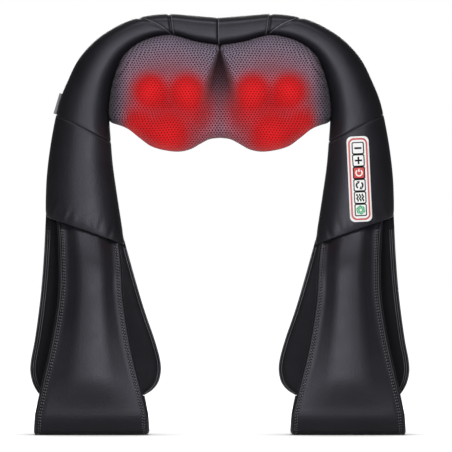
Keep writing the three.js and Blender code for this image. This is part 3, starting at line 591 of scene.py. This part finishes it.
def pad_ring(place, inset, count):
    """A ring round the pad, at a place from -1 at the left arm's end to 1 at the right arm's."""
    outer, inner = pad_edges(place)
    middle = (outer + inner) / 2
    width = np.linalg.norm(outer - middle) - inset
    depth = COLLAR_DEPTH + (ARM_DEPTH - COLLAR_DEPTH) * min(1, 2 * abs(place)) - inset
    across = unit(outer - middle)
    angles = np.linspace(0, math.tau, count, endpoint=False)
    exponent = np.interp(abs(place), [0.12, 0.5], [COLLAR_SQUARENESS, ARM_SQUARENESS])
    wide, deep = (np.sign(f(angles)) * np.abs(f(angles)) ** (2 / exponent) for f in (np.cos, np.sin))
    flat = middle + np.outer(wide * width, across)
    flat[:, 0] *= -1 if place < 0 else 1
    return np.column_stack([flat[:, 0], MIDDLE_Y + deep * depth, flat[:, 1]])


def line_distance(x, z, line):
    """Distance from each x, z, mirrored to the right half, to a line of x, z points."""
    half = np.column_stack([np.abs(x), z])
    least = np.full(len(half), np.inf)
    for a, b in zip(line[:-1], line[1:]):
        share = np.clip(((half - a) @ (b - a)) / ((b - a) @ (b - a)), 0, 1)
        least = np.minimum(least, np.linalg.norm(half - (a + share[:, None] * (b - a)), axis=1))
    return least


def cross_line(place):
    """The line across the pad at a place, a little longer than the pad is wide."""
    outer, inner = pad_edges(place)
    reach = 0.1 * (outer - inner)
    return np.array([outer + reach, inner - reach])


def swell(piece, pinned):
    """Blows a closed leather cover up by cloth simulation, pinned at its seams, and keeps the result. No
    point moves further than SWELL_MOST, and small ripples are evened out along and round the rings."""
    frames, most = 20, SWELL_MOST * MM
    group = piece.vertex_groups.new(name="seams")
    group.add([int(i) for i in np.flatnonzero(pinned)], 1.0, "REPLACE")
    cloth = piece.modifiers.new("Cloth", "CLOTH")
    for name, value in {
            "quality": 5, "mass": 0.3, "tension_stiffness": 25, "compression_stiffness": 25,
            "shear_stiffness": 12, "bending_stiffness": 2, "vertex_group_mass": group.name,
            "use_pressure": True, "uniform_pressure_force": 4}.items():
        setattr(cloth.settings, name, value)
    cloth.settings.effector_weights.gravity = 0
    cloth.point_cache.frame_end = frames
    start = vertex_array(piece)
    for number in range(1, frames + 1):
        bpy.context.scene.frame_set(number)
    graph = bpy.context.evaluated_depsgraph_get()
    final = vertex_array(piece.evaluated_get(graph))
    piece.modifiers.remove(cloth)
    piece.vertex_groups.clear()
    bpy.context.scene.frame_set(1)
    moved = final - start
    length = np.linalg.norm(moved, axis=1, keepdims=True)
    moved *= most * np.tanh(length / most) / np.maximum(length, 1e-9)
    moved = moved.reshape(-1, RING_COUNT, 3)
    free = ~pinned.reshape(-1, RING_COUNT, 1)
    for _ in range(6):
        around = (np.roll(moved, 1, 1) + np.roll(moved, -1, 1)) / 2
        along = moved.copy()
        along[1:-1] = (moved[2:] + moved[:-2]) / 2
        moved = np.where(free, (2 * moved + around + along) / 4, 0)
    set_vertices(piece, start + moved.reshape(-1, 3))


def front_view(points):
    """Points in metres as x and z in millimetres."""
    return points[:, 0] / MM, points[:, 2] / MM


def vertex_array(piece):
    flat = np.zeros(len(piece.data.vertices) * 3)
    piece.data.vertices.foreach_get("co", flat)
    return flat.reshape(-1, 3)


def set_vertices(piece, points):
    piece.data.vertices.foreach_set("co", np.asarray(points).ravel())
    piece.data.update()


def normal_array(piece):
    return np.array([v.normal[:] for v in piece.data.vertices])


def subdivide(piece):
    modifier = piece.modifiers.new("Subdivision", "SUBSURF")
    modifier.levels = 1
    graph = bpy.context.evaluated_depsgraph_get()
    finer = bpy.data.meshes.new_from_object(piece.evaluated_get(graph))
    piece.modifiers.remove(modifier)
    old = piece.data
    piece.data = finer
    bpy.data.meshes.remove(old)
    finer.name = piece.name


def cushion(name, places, end_insets, seams):
    """A closed padded cover lofted round the pad, swollen between its seams."""
    insets = COVER_INSET + np.interp(places, *end_insets)
    rings = [pad_ring(place, inset, RING_COUNT) for place, inset in zip(places, insets)]
    caps = []
    for ring in (rings[0], rings[-1]):
        middle = ring.mean(0)
        caps.append([middle + (ring - middle) * share for share in (0.12, 0.55, 0.93)])
    rings = np.array(caps[0] + rings + caps[1][::-1])
    piece = Shape().add(*closed_loft(rings)).mesh_object(name, "leather")
    x, z = front_view(vertex_array(piece))
    end_rows = (len(caps[0]) + 1) * RING_COUNT
    pinned = np.zeros(len(x), bool)
    pinned[:end_rows] = pinned[-end_rows:] = True
    for line in seams:
        pinned |= line_distance(x, z, line) < SEAM_WIDTH
    swell(piece, pinned)
    subdivide(piece)
    return piece


def sink(piece, line, depth, width):
    """Presses a groove into a piece along a line in the x-z plane."""
    points = vertex_array(piece)
    away = line_distance(*front_view(points), line)
    press = depth * MM * np.exp(-((away / width) ** 2))
    set_vertices(piece, points - normal_array(piece) * press[:, None])


def pad_places(first, last, step, exact=()):
    """Evenly spaced places along the pad, with some exact ones and two close neighbours of each."""
    places = list(np.linspace(first, last, max(2, round(abs(last - first) / step) + 1)))
    places = [first, first + 0.002] + places[1:-1] + [last - 0.002, last]
    near = 0.006
    for place in exact:
        places = [p for p in places if abs(p - place) > 1.4 * near] + [place - near, place, place + near]
    return sorted(p for p in places if first <= p <= last)


def bend_with_arm(piece):
    """Bakes a piece's placement into its mesh and returns it."""
    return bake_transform(piece)


def make_arch(side_name):
    """Half of the collar, from the middle seam down to the seam with the arm."""
    side = SIDES[side_name]
    collar_seams = [cross_line(COLLAR_SEAM), DIAGONAL_SEAM]
    ends = sorted((CENTRE_SEAM, side * ARM_SEAM))
    places = pad_places(*ends, 0.0095, (side * COLLAR_SEAM,))
    end_inset, ramp = 0.4, 0.007
    insets = ([places[0], places[0] + ramp, places[-1] - ramp, places[-1]], [end_inset, 0, 0, end_inset])
    arch = cushion(side_name + "_arch", places, insets, collar_seams)
    for line in collar_seams:
        sink(arch, line, 1.1, 1.5)
    return bend_with_arm(arch)


def make_arm(side_name):
    """The padded arm, from its seam down to its end over the hand loop."""
    side = SIDES[side_name]
    places = pad_places(ARM_SEAM, 1.0, 0.0085)
    knots = [ARM_SEAM, ARM_SEAM + 0.005, 0.988, 1.0]
    if side < 0:
        places, knots = sorted(-p for p in places), [-k for k in knots[::-1]]
    values = [0.3, 0, 0, 1.2] if side > 0 else [1.2, 0, 0, 0.3]
    arm = cushion(side_name + "_arm_leather", places, (knots, values), [])
    gather(arm)
    if side > 0:
        seat_panel(arm)
    return bend_with_arm(arm)


def gather(piece):
    """Small creases where the cover is drawn in over the hand loop."""
    points = vertex_array(piece)
    x, z = front_view(points)
    line = cross_line(1.0)
    away = line_distance(x, z, line)
    along = np.column_stack([np.abs(x), z]) @ unit(line[0] - line[1])
    wave = np.sin(along * 0.55) + 0.7 * np.sin(along * 0.93 + 1.3)
    height = 0.32 * MM * wave * np.exp(-((away - 7) / 9) ** 2)
    set_vertices(piece, points + normal_array(piece) * height[:, None])


def panel_matrix():
    """Places x, y, z of the control panel: its middle is on the bezel's back, y is depth, z is up."""
    low, high = box_mm("panel_bezel")
    middle = Vector(((low[0] + high[0]) / 2, high[1], (low[2] + high[2]) / 2))
    return Matrix.Translation(middle) @ Matrix.Rotation(PANEL_TILT, 4, "Y")


def seat_panel(piece):
    """Keeps the leather just behind the control panel's plate, with a soft swell round it."""
    points = vertex_array(piece) / MM
    inverse = np.array(panel_matrix().inverted())
    local = points @ inverse[:3, :3].T + inverse[:3, 3]
    half_width, half_height = (size / 2 for size in BEZEL_SIZE)
    beyond = past_box(local[:, 0], local[:, 2], half_width, half_height)
    front = points[:, 1] < MIDDLE_Y
    seat = 0.35 * (1 - smoothstep(beyond, 0.0, 2.0)) - 3.0 * smoothstep(beyond, 0.3, 14.0)
    lowered = np.maximum(local[:, 1], seat)
    points[:, 1] += np.where(front & (beyond < 14), lowered - local[:, 1], 0)
    set_vertices(piece, points * MM)


def surface_of(*pieces):
    """A tree for finding the nearest point of some pieces' surfaces."""
    shape = Shape()
    for piece in pieces:
        shape.add([v.co[:] for v in piece.data.vertices], [face.vertices for face in piece.data.polygons])
    return BVHTree.FromPolygons(shape.points, shape.faces)


def lifted(hits, lift):
    """Places on a surface that a tree has found, in millimetres, moved out of it by lift."""
    found = [(np.array(place) / MM, np.array(normal)) for place, normal, _, _ in hits if place]
    return np.array([place + normal * lift for place, normal in found])


def onto(tree, points, lift):
    """The nearest places on a surface to points in millimetres."""
    return lifted([tree.find_nearest(Vector(point) * MM) for point in points], lift)


def struck(tree, xs, zs, front, lift):
    """Where lines along Y at x, z meet a surface first, from the front if front is -1."""
    starts = [Vector((x, MIDDLE_Y + front * 100, z)) * MM for x, z in zip(xs, zs)]
    return lifted([tree.ray_cast(start, Vector((0, -front, 0))) for start in starts], lift)


def make_collar_cords(arches):
    """Thin turned edges beside the collar's seams, in light grey cord: the edges are real, their light
    colour is a painted highlight along them.
    """
    tree = surface_of(*arches)
    shape = Shape()
    beside = 0.0045
    for place in (CENTRE_SEAM + beside, COLLAR_SEAM - beside, -COLLAR_SEAM + beside):
        points = onto(tree, pad_ring(place, -1.0, 64), 0.2)
        shape.add(*tube(points, 0.5, closed=True))
    line = catmull_rom(DIAGONAL_SEAM, np.linspace(0.1, 0.97, 26)) - [1.6, 0]
    for side in (-1, 1):
        for front in (-1, 1):
            shape.add(*tube(struck(tree, side * line[:, 0], line[:, 1], front, 0.15), 0.45))
    cords = shape.mesh_object("collar_cords", "cord")
    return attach(cords, "collar")


def make_arm_cord(side_name, arm):
    """The turned edge where an arm joins the collar."""
    side = SIDES[side_name]
    tree = surface_of(arm)
    points = onto(tree, pad_ring(side * (ARM_SEAM + 0.006), -1.0, 64), 0.0)
    shape = Shape().add(*tube(points, 0.32, closed=True))
    cord = shape.mesh_object(side_name + "_arm_cord", "dark_cord")
    return bend_with_arm(cord)


# ---- Hand loops ----
def band_edges(rows, steps):
    """Outer edge, inner edge and normal of a band, from its rows."""
    places = np.linspace(0, 1, steps)
    outer = catmull_rom(rows[:, [0, 4, 1]], places)
    inner = catmull_rom(rows[:, [2, 4, 3]], places)
    along = np.gradient(outer + inner, axis=0)
    normals = unit(np.column_stack([np.zeros(steps), along[:, 2], -along[:, 1]]))
    return outer, inner, normals


def bend_edges(middle_y, first_angle, steps=10):
    """The same for a quarter turn at the floor."""
    angles = first_angle + np.linspace(0, math.pi / 2, steps)
    normals = np.column_stack([np.zeros(steps), np.cos(angles), np.sin(angles)])
    middle = np.column_stack([np.zeros(steps), np.full(steps, middle_y), np.full(steps, LOOP_LOW_Z)])
    line = middle + LOOP_BEND * normals
    spread = 1.7 - 1.7 * line[:, 2] / LOOP_LOW_Z
    outer, inner = line.copy(), line.copy()
    outer[:, 0] = 194 + spread
    inner[:, 0] = 75.5 - spread
    return outer, inner, normals


def strap_edges():
    """A hand strap's edges, down the front, along the floor and up at the back."""
    front = [part[:-1] for part in band_edges(STRAP_ROWS, 44)]
    low = bend_edges(LOOP_FRONT_Y + LOOP_BEND, math.pi)
    back = bend_edges(LOOP_BACK_Y - LOOP_BEND, 1.5 * math.pi)
    floor = [np.array([(1 - s) * a[-1] + s * b[0] for s in (0.25, 0.5, 0.75)]) for a, b in zip(low, back)]
    end = [[[190, LOOP_BACK_Y, 40.6]], [[79.4, LOOP_BACK_Y, 40.6]], [[0.0, 1, 0]]]
    return centred([np.vstack(parts) for parts in zip(front, low, floor, back, end)])


def wing_edges():
    return centred(band_edges(WING_ROWS, 48))


def centred(edges):
    """Moves a band's edges from the object's middle plane to where it lies."""
    outer, inner, normals = edges
    return outer + [0, MIDDLE_Y, 0], inner + [0, MIDDLE_Y, 0], normals


# Distance from the outer edge and height over the middle plane, then the same from the inner edge.
STRAP_OUTER = [(0, 0), (0.3, 1.9), (1.2, 3.3), (2.4, 3.75), (3.5, 3.5), (4.2, 2.7), (4.8, 2.6), (5.6, 3.1),
               (6.6, 3.0), (8.5, 3.5), (12, 3.8)]
STRAP_INNER = [(12, 3.8), (8, 3.5), (5.2, 3.1), (4.2, 2.8), (3.2, 3.1), (1.8, 3.1), (0.5, 1.8), (0, 0)]
STRAP_BACK = [(0.5, -2.2), (2, -3.5), (6, -3.9)]
WING_OUTER = [(0, 0), (0.5, 1.9), (1.4, 2.9), (2.4, 3.0), (2.9, 2.5), (3.5, 2.9), (4.6, 3.0), (5.1, 2.5),
              (6, 2.9), (9, 3.4), (14, 3.7)]
WING_INNER = WING_OUTER[::-1]


def band_section(outer, inner, normal, outer_rows, inner_rows, crown):
    """One closed section of a band."""
    width = np.linalg.norm(outer - inner)
    across = (inner - outer) / width
    middle = [(width * s, 4.0 + crown * math.sin(math.pi * s)) for s in (0.25, 0.375, 0.5, 0.625, 0.75)]
    front = outer_rows + middle + [(width - d, h) for d, h in inner_rows]
    back = [(width - d, h) for d, h in STRAP_BACK] + [(width * 0.5, -4.0)] + STRAP_BACK[::-1]
    return np.array([outer + across * d + normal * h for d, h in front + back])


def make_band(name, side, edges, rows, crown, material):
    outer, _, normals = edges
    crowns = crown * smoothstep(outer[:, 2], LOOP_LOW_Z, 62) * (normals[:, 1] < 0)
    rings = np.array([band_section(*row, *rows, high) for *row, high in zip(*edges, crowns)])
    rings[..., 0] *= side
    return Shape().add(*closed_loft(rings)).mesh_object(name, material)


def inset_line(edges, side, from_outer, height, last):
    """A line along a band at a distance from its outer edge, or from its inner edge if negative. It leaves
    out the first two sections and those from last on."""
    outer, inner, normals = (part[2:last] for part in edges)
    across = unit(inner - outer)
    base = outer if from_outer >= 0 else inner
    points = base + across * from_outer + normals * height
    points[:, 0] *= side
    return points, normals


def make_hand_loop(side_name):
    """The strap with its rolled edge and stitching, and the wing behind it with its bound edges."""
    side = SIDES[side_name]
    body = side_name + "_arm"
    bands = (
        ("_strap", "_hand_strap", strap_edges(), (STRAP_OUTER, STRAP_INNER), 5.5, "leather"),
        # The wing is covered in lining, whose darker colour is painted shade.
        ("_wing_cover", "_wing", wing_edges(), (WING_OUTER, WING_INNER), 0.3, "lining"))
    for name, node, edges, rows, crown, slot in bands:
        piece = make_band(side_name + name, side, edges, rows, crown, slot)
        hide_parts(side_name + node)
        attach(piece, body)
    stitches, holes = Shape(), Shape()
    for from_outer, height in ((4.6, 2.85), (6.5, 3.2), (-4.2, 2.95), (-6.1, 3.2)):
        line = inset_line(strap_edges(), side, from_outer, height, -4)
        add_stitches(stitches, *line, 1.5, 0.45, 1.0)
        add_stitches(holes, *line, 1.1, 0.5, 1.5)
    for row, name, material in ((stitches, "_stitches", "thread"), (holes, "_needle_holes", "ink")):
        sewn = row.mesh_object(side_name + "_strap" + name, material)
        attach(sewn, body)
    # The wing's bound edges: real bindings, drawn in light grey cord as a painted highlight along the edges.
    bindings = Shape()
    for from_outer in (0.9, 3.1, 5.2, -0.9, -3.1):
        height = 2.5 if abs(from_outer) < 1 else 2.75
        points, _ = inset_line(wing_edges(), side, from_outer, height, -2)
        bindings.add(*tube(points, 0.36))
    bound = bindings.mesh_object(side_name + "_wing_binding", "cord")
    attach(bound, body)


# ---- The massage zone ----
def mesh_top(shares):
    """The mesh cover's upper border, along the collar's inner edge."""
    edge = catmull_rom(PAD_EDGES[:, 2:4], np.asarray(shares) * MESH_END)
    return np.column_stack([edge[:, 0] * 1.006, edge[:, 1] + 1.6])


def from_border(x, z, steps):
    """Distance of each x, z from the border of the massage zone."""
    shares = np.linspace(0, 1, steps)
    return line_distance(x, z, np.vstack([catmull_rom(HEM, shares), mesh_top(shares[::-1])]))


def zone_column(u, hem, top, rows):
    """Points as x, z from the hem to the top, closer together at both ends, on the side of u."""
    share = (1 - np.cos(math.pi * np.linspace(0, 1, rows + 1))) / 2
    return (hem + share[:, None] * (top - hem)) * [np.sign(u), 1]


def mesh_front(x, z):
    """How deep the mesh cover stands at x, z: swollen, with a ring over each rotor, a bump over each
    node and a fold under the middle of the collar."""
    right = np.abs(x)
    away = from_border(x, z, 60)
    shoulder = 12 + 10 * smoothstep(z, 325, 350)
    ring_height, ring_width, bump_height, bump_width, fold_depth = 18.5, 17, 2.5, 10, 24
    rise = np.sqrt(1 - (1 - np.minimum(1, away / shoulder)) ** 4)
    from_rotor = np.hypot(right - ROTOR_X, z - ROTOR_Z)
    ring = ring_height * np.exp(-((np.abs(from_rotor - NODE_RING) / ring_width) ** 3))
    bumps = 0
    for k in range(4):
        angle = math.radians(180 - NODE_TURN - 90 * k)
        node_x, node_z = ROTOR_X + math.cos(angle) * NODE_RING, ROTOR_Z + math.sin(angle) * NODE_RING
        bumps = bumps + bump_height * np.exp(-(np.hypot(right - node_x, z - node_z) / bump_width) ** 2)
    fold_width = np.clip(1.5 + FOLD_SPREAD * (FOLD_TOP - z), 1.5, 26)
    fold = fold_depth * smoothstep(z, 334, 372) * (1 - smoothstep(right / fold_width, 0.45, 1.1))
    return MESH_EDGE_Y - rise * (MESH_SWELL + ring + bumps - fold)


def make_mesh_cover():
    """The stretched cover of spacer mesh, turned back under the mechanism at its hem."""
    columns, rows = 150, 56
    grid = []
    for u in np.linspace(-1, 1, columns + 1):
        x, z = zone_column(u, catmull_rom(HEM, [abs(u)])[0], mesh_top([abs(u)])[0], rows).T
        column = np.column_stack([x, mesh_front(x, z), z])
        back = [[x[0], y, z[0]] for y in np.linspace(MESH_BACK_Y, column[0, 1], 8)[:-1]]
        grid.append(np.vstack([back, column]) + [0, MIDDLE_Y, 0])
    grid = np.array(grid)
    shape = Shape().add(grid.reshape(-1, 3), ring_faces(*grid.shape[:2], closed=False))
    piece = shape.mesh_object("mesh_sheet", "spacer_mesh")
    lay_out(piece, grid)
    thicken = piece.modifiers.new("Thickness", "SOLIDIFY")
    thicken.thickness = 1.2 * MM
    thicken.offset = 0
    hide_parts("mesh_cover")
    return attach(piece, "collar")


def lay_out(piece, grid):
    """A UV map in steps of the mesh's holes, measured along the stretched sheet from its middle."""
    middle_column, middle_row = grid.shape[0] // 2, grid.shape[1] // 2
    grid = grid * [1, STRETCH_SHARE, 1]
    steps = np.linalg.norm(np.diff(grid[..., :2], axis=0), axis=2)
    across = np.concatenate([np.zeros((1, grid.shape[1])), np.cumsum(steps, axis=0)])
    across -= across[middle_column]
    steps = np.linalg.norm(np.diff(grid[..., 1:], axis=1), axis=2)
    up = np.concatenate([np.zeros((grid.shape[0], 1)), np.cumsum(steps, axis=1)], axis=1)
    up += grid[:, middle_row:middle_row + 1, 2] - up[:, middle_row:middle_row + 1]
    flat = np.stack([across, up], axis=2).reshape(-1, 2) / HOLE_PITCH
    indices = np.array([loop.vertex_index for loop in piece.data.loops])
    piece.data.uv_layers.new(name="weave").data.foreach_set("uv", flat[indices].ravel())


def make_rear_panel():
    """The quilted rear panel that closes the massage zone, a closed pad round its own zip."""
    columns, rows = 120, 44
    middle, front_y = np.array([0, 358.0]), box_mm("back_pad")[0][1]
    behind, front = [], []
    for u in np.linspace(-1, 1, columns + 1):
        hem, top = catmull_rom(HEM, [abs(u)])[0], mesh_top([abs(u)])[0]
        top = top + unit(top - middle) * 5.0
        hem = middle + (hem - middle) * (0.985 + 0.03 * smoothstep(abs(u), 0.85, 1))
        x, z = zone_column(u, hem, top, rows).T
        behind.append(np.column_stack([x, rear_depth(x, z), z]))
        front.append(np.column_stack([x * 0.97, np.full(rows + 1, front_y), z]))
    points = np.array([behind, front])
    count = (columns + 1) * (rows + 1)
    faces = ring_faces(columns + 1, rows + 1, closed=False)
    faces += [[i + count for i in face[::-1]] for face in faces]
    grid = np.arange(count).reshape(columns + 1, rows + 1)
    border = np.concatenate([grid[:, 0], grid[-1, 1:], grid[-2::-1, -1], grid[0, -2:0:-1]])
    faces += [[a, b, b + count, a + count] for a, b in zip(border, np.roll(border, -1))]
    shape = Shape().add(*facing_out(points.reshape(-1, 3), faces))
    piece = shape.mesh_object("rear_panel", "lining")
    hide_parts("back_panel", "back_pad")
    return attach(piece, "collar")


def rear_depth(x, z):
    """Depth of the quilted rear face at x, z: a rounded rim, sewn channels that run up and down, and a
    flat bed for the zip."""
    rim_y, bed_y = MIDDLE_Y + MESH_BACK_Y - 2.0, box_mm("back_panel")[1][1] - 0.3
    rim_width, half_channel = 11, 12.0
    rim = np.sqrt(1 - (1 - np.clip(from_border(x, z, 40) / rim_width, 0, 1)) ** 2)
    across = np.abs(np.mod(x + half_channel, 2 * half_channel) - half_channel)
    rib = np.sqrt(1 - (1 - across / half_channel) ** 4)
    quilted = rim_y + rim * (bed_y - rim_y + 1.6 * rib - 0.6)
    tape_low, tape_high = box_mm("zip_tape")
    past = past_box(x, z - (tape_low[2] + tape_high[2]) / 2, tape_high[0], 7.5)
    return np.where(quilted > bed_y, bed_y + (quilted - bed_y) * smoothstep(past, 0, 5), quilted)


# ---- The control panel ----
def rounded_rectangle(width, height, corner, steps=8):
    outline = []
    for k, (sx, sy) in enumerate([(1, 1), (-1, 1), (-1, -1), (1, -1)]):
        centre = np.array([sx * (width / 2 - corner), sy * (height / 2 - corner)])
        for angle in np.linspace(k * math.pi / 2, (k + 1) * math.pi / 2, steps):
            outline.append(centre + corner * np.array([math.cos(angle), math.sin(angle)]))
    return np.array(outline)


def plate(name, outlines, front, back, bevel, material):
    """A flat plate on the control panel with rounded edges, drawn by its outlines, holes included.
    front and back are depths in the panel's own frame."""
    curve = bpy.data.curves.new(name, "CURVE")
    curve.dimensions = "2D"
    curve.fill_mode = "BOTH"
    for outline in outlines:
        spline = curve.splines.new("POLY")
        spline.points.add(len(outline) - 1)
        flat, full_weight = np.zeros((len(outline), 1)), np.ones((len(outline), 1))
        spline.points.foreach_set("co", np.hstack([outline, flat, full_weight]).ravel())
        spline.use_cyclic_u = True
    curve.extrude = (back - front) / 2 - bevel
    curve.bevel_depth = bevel
    curve.bevel_resolution = 2
    curve.offset = -bevel
    drawn = add_object(name, curve)
    graph = bpy.context.evaluated_depsgraph_get()
    mesh = bpy.data.meshes.new_from_object(drawn.evaluated_get(graph))
    bpy.data.objects.remove(drawn)
    turn = Matrix.Translation((0, (front + back) / 2, 0)) @ Matrix.Rotation(math.pi / 2, 4, "X")
    mesh.transform(Matrix.Scale(MM, 4) @ panel_matrix() @ turn)
    mesh.materials.clear()
    mesh.materials.append(MATERIALS[material])
    return add_object(name, mesh)


def stroke(points, width):
    """The outline of a line drawn with a pen of a width, square at both ends, in a list."""
    along = unit(np.gradient(np.asarray(points, float), axis=0))
    side = np.column_stack([-along[:, 1], along[:, 0]]) * width / 2
    return [np.vstack([points + side, (points - side)[::-1]])]


def arc(radius, first, last, steps=20):
    angles = np.radians(np.linspace(first, last, steps))
    return radius * np.column_stack([np.cos(angles), np.sin(angles)])


QUARTER = np.array([[0, 1], [-1, 0]])  # turns rows of x, y a quarter of the way round, to the left


def symbols():
    """The outlines of each key's symbol."""
    bar = np.array([[-3.7, 0], [3.7, 0]])
    reach, half = 3.8, 0.9
    arm_end = np.array([[reach, -half], [reach, half], [half, half]])
    plus = np.vstack([arm_end, arm_end @ QUARTER, -arm_end, -arm_end @ QUARTER])
    power = stroke(arc(3.2, 125, 415, 36), 1.3) + stroke([[0, 1.2], [0, 4.3]], 1.3)
    arrows = []
    ring, last = 3.3, 58
    for turn in (70, 250):
        arrows += stroke(arc(ring, turn + last, turn + 165), 1.7)
        tip = math.radians(turn + last - 4)
        outwards = np.array([math.cos(tip), math.sin(tip)])
        heading = -outwards @ QUARTER
        base = ring * outwards
        arrows.append(np.array([base - outwards * 1.9, base + outwards * 1.9, base + heading * 2.6]))
    rise = np.linspace(-3.8, 3.8, 24)
    waves = []
    for x in (-2.8, 0.0, 2.8):
        waves += stroke(np.column_stack([x + 0.75 * np.sin(rise * 1.65), rise]), 1.35)
    whirl = []
    radii = np.linspace(1.3, 5.0, 8)
    for start in range(0, 360, 60):
        edges = []
        for lead in (0, 48):
            angles = np.radians(start + lead + 26 * (radii - radii[0]))
            edges.append(radii[:, None] * np.column_stack([np.cos(angles), np.sin(angles)]))
        whirl.append(np.vstack([edges[0], edges[1][::-1]]))
    return {
        "minus": (stroke(bar, 2.0), "ink"),
        "plus": ([plus], "ink"),
        "power": (power, "white_ink"),
        "direction": (arrows, "ink"),
        "heat": (waves, "ink"),
        "speed": (whirl, "green_ink"),
    }


def button_middle(name):
    """Middle of a button in the panel's own frame: x and z."""
    low, high = box_mm("button_" + name)
    local = panel_matrix().inverted() @ Vector((low + high) / 2)
    return np.array([0.0, local.z])


def make_control_panel():
    """The glossy plate with its red line, and six keys, each in a dark outline with its symbol."""
    front, back = -3.2, -0.05
    key_back = -1.0  # leaves room for a key's travel
    middles = {name: button_middle(name) for name in BUTTONS}
    windows = [rounded_rectangle(11.9, 11.9, 1.7) + middle for middle in middles.values()]
    bezel = plate("bezel", [rounded_rectangle(*BEZEL_SIZE, 5.5)] + windows, front, back, 0.55, "white_gloss")
    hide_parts("panel_bezel")
    line = [rounded_rectangle(20.2, 86.2, 6.0, 12), rounded_rectangle(16.6, 82.6, 4.4, 12)]
    red_line = plate("bezel_red_line", line, front - 0.12, front + 0.3, 0.05, "red_ink")
    made = [(bezel, "white_gloss", "right_arm"), (red_line, "white_gloss", "right_arm")]
    drawn = symbols()
    for name, middle in middles.items():
        rim = [rounded_rectangle(size, size, corner) + middle for size, corner in ((13.0, 1.9), (11.0, 1.3))]
        outline = plate("key_outline_" + name, rim, front - 0.1, front + 0.3, 0.04, "ink")
        body, slot = "button_" + name, "red_key" if name == "power" else "white_key"
        cap = [rounded_rectangle(10.8, 10.8, 1.2) + middle]
        key = plate("key_" + name, cap, front - 0.8, key_back, 0.3, slot)
        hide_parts(body)
        lines, ink = drawn[name]
        lines = [line + middle for line in lines]
        symbol = plate("symbol_" + name, lines, front - 0.87, front - 0.5, 0.02, ink)
        made += [(outline, "black_plastic", "right_arm"), (key, slot, body), (symbol, slot, body)]
    for piece, slot, body in made:
        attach(piece, body)


# ---- Small parts ----
def make_tag():
    """The blank woven tag in the left arm's side seam, folded over."""
    low, high = box_mm("side_tag")
    middle_y = (low[1] + high[1]) / 2
    outer = np.array([[-168.8, 359.1], [-175.0, 338.3]])
    inner = outer + [3.4, -1.0]
    rings = []
    for share in np.linspace(-0.02, 1.02, 12):
        edges = [e[0] + share * (e[1] - e[0]) for e in (outer, inner)]
        thickness = 0.8 + 0.25 * math.sin(share * math.pi)
        ring = []
        for (x, z), dy in zip(edges[:1] * 2 + edges[1:] * 2, (0, -thickness, -thickness, thickness)):
            ring.append([x, middle_y + dy, z])
        rings.append(ring)
    shape = Shape().add(*closed_loft(np.array(rings)))
    tag = shape.mesh_object("side_tag_cloth", "tag", smooth=False)
    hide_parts("side_tag")
    return bend_with_arm(tag)


def make_zip_coil():
    """The coil of the rear zip: two rows of hooked teeth."""
    low, high = box_mm("zip_tape")
    shape = Shape()
    pitch = 1.9
    middle_z = (low[2] + high[2]) / 2
    face = high[1] + 0.15
    for k, x in enumerate(np.arange(low[0] + 4, high[0] - 4, pitch / 2)):
        lean = 1 if k % 2 else -1
        hook = np.array([(0, -0.4, 2.4), (0, 0.25, 1.6), (0.15, 0.3, 0.2), (0.2, -0.3, -0.5)])
        shape.add(*tube([x, face, middle_z] + hook * [1, 1, lean], 0.375))
    coil = shape.mesh_object("zip_coil", "black_plastic")
    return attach(coil, "collar")


def make_floor():
    """A wide pale floor with a glow of its own, less where the object stands over it."""
    reach = 30.0 / MM
    made = Material("floor", 0.8)
    made.set(Base_Color=made.mix(made.noise(3, 2.0), linear("#f2f2f2"), linear("#f8f8f8")))
    seen = made.add("ShaderNodeLightPath").outputs["Is Camera Ray"]
    clear = made.add("ShaderNodeAmbientOcclusion", {"samples": 16}, Distance=0.45).outputs["AO"]
    glow = made.times(made.math("POWER", clear, 3.0), 0.95)
    made.set(Emission_Color=(1, 1, 1, 1), Emission_Strength=made.times(seen, glow))
    corners = [[-reach, -reach, 0], [reach, -reach, 0], [reach, reach, 0], [-reach, reach, 0]]
    Shape().add(corners, [[0, 1, 2, 3]]).mesh_object("floor", "floor")


make_camera()
make_studio()
make_floor()
make_materials()
dress_nodes()
arches = {name: make_arch(name) for name in SIDES}
arms = {name: make_arm(name) for name in SIDES}
for arch in arches.values():
    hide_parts("collar_cover_front", "collar_cover_back", "collar_pad")
for side_name, arm in arms.items():
    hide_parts(side_name + "_arm_cover_front", side_name + "_arm_cover_back", side_name + "_arm_pad")
    make_arm_cord(side_name, arm)
    make_hand_loop(side_name)
make_collar_cords(arches.values())
make_mesh_cover()
make_rear_panel()
make_control_panel()
make_tag()
make_zip_coil()
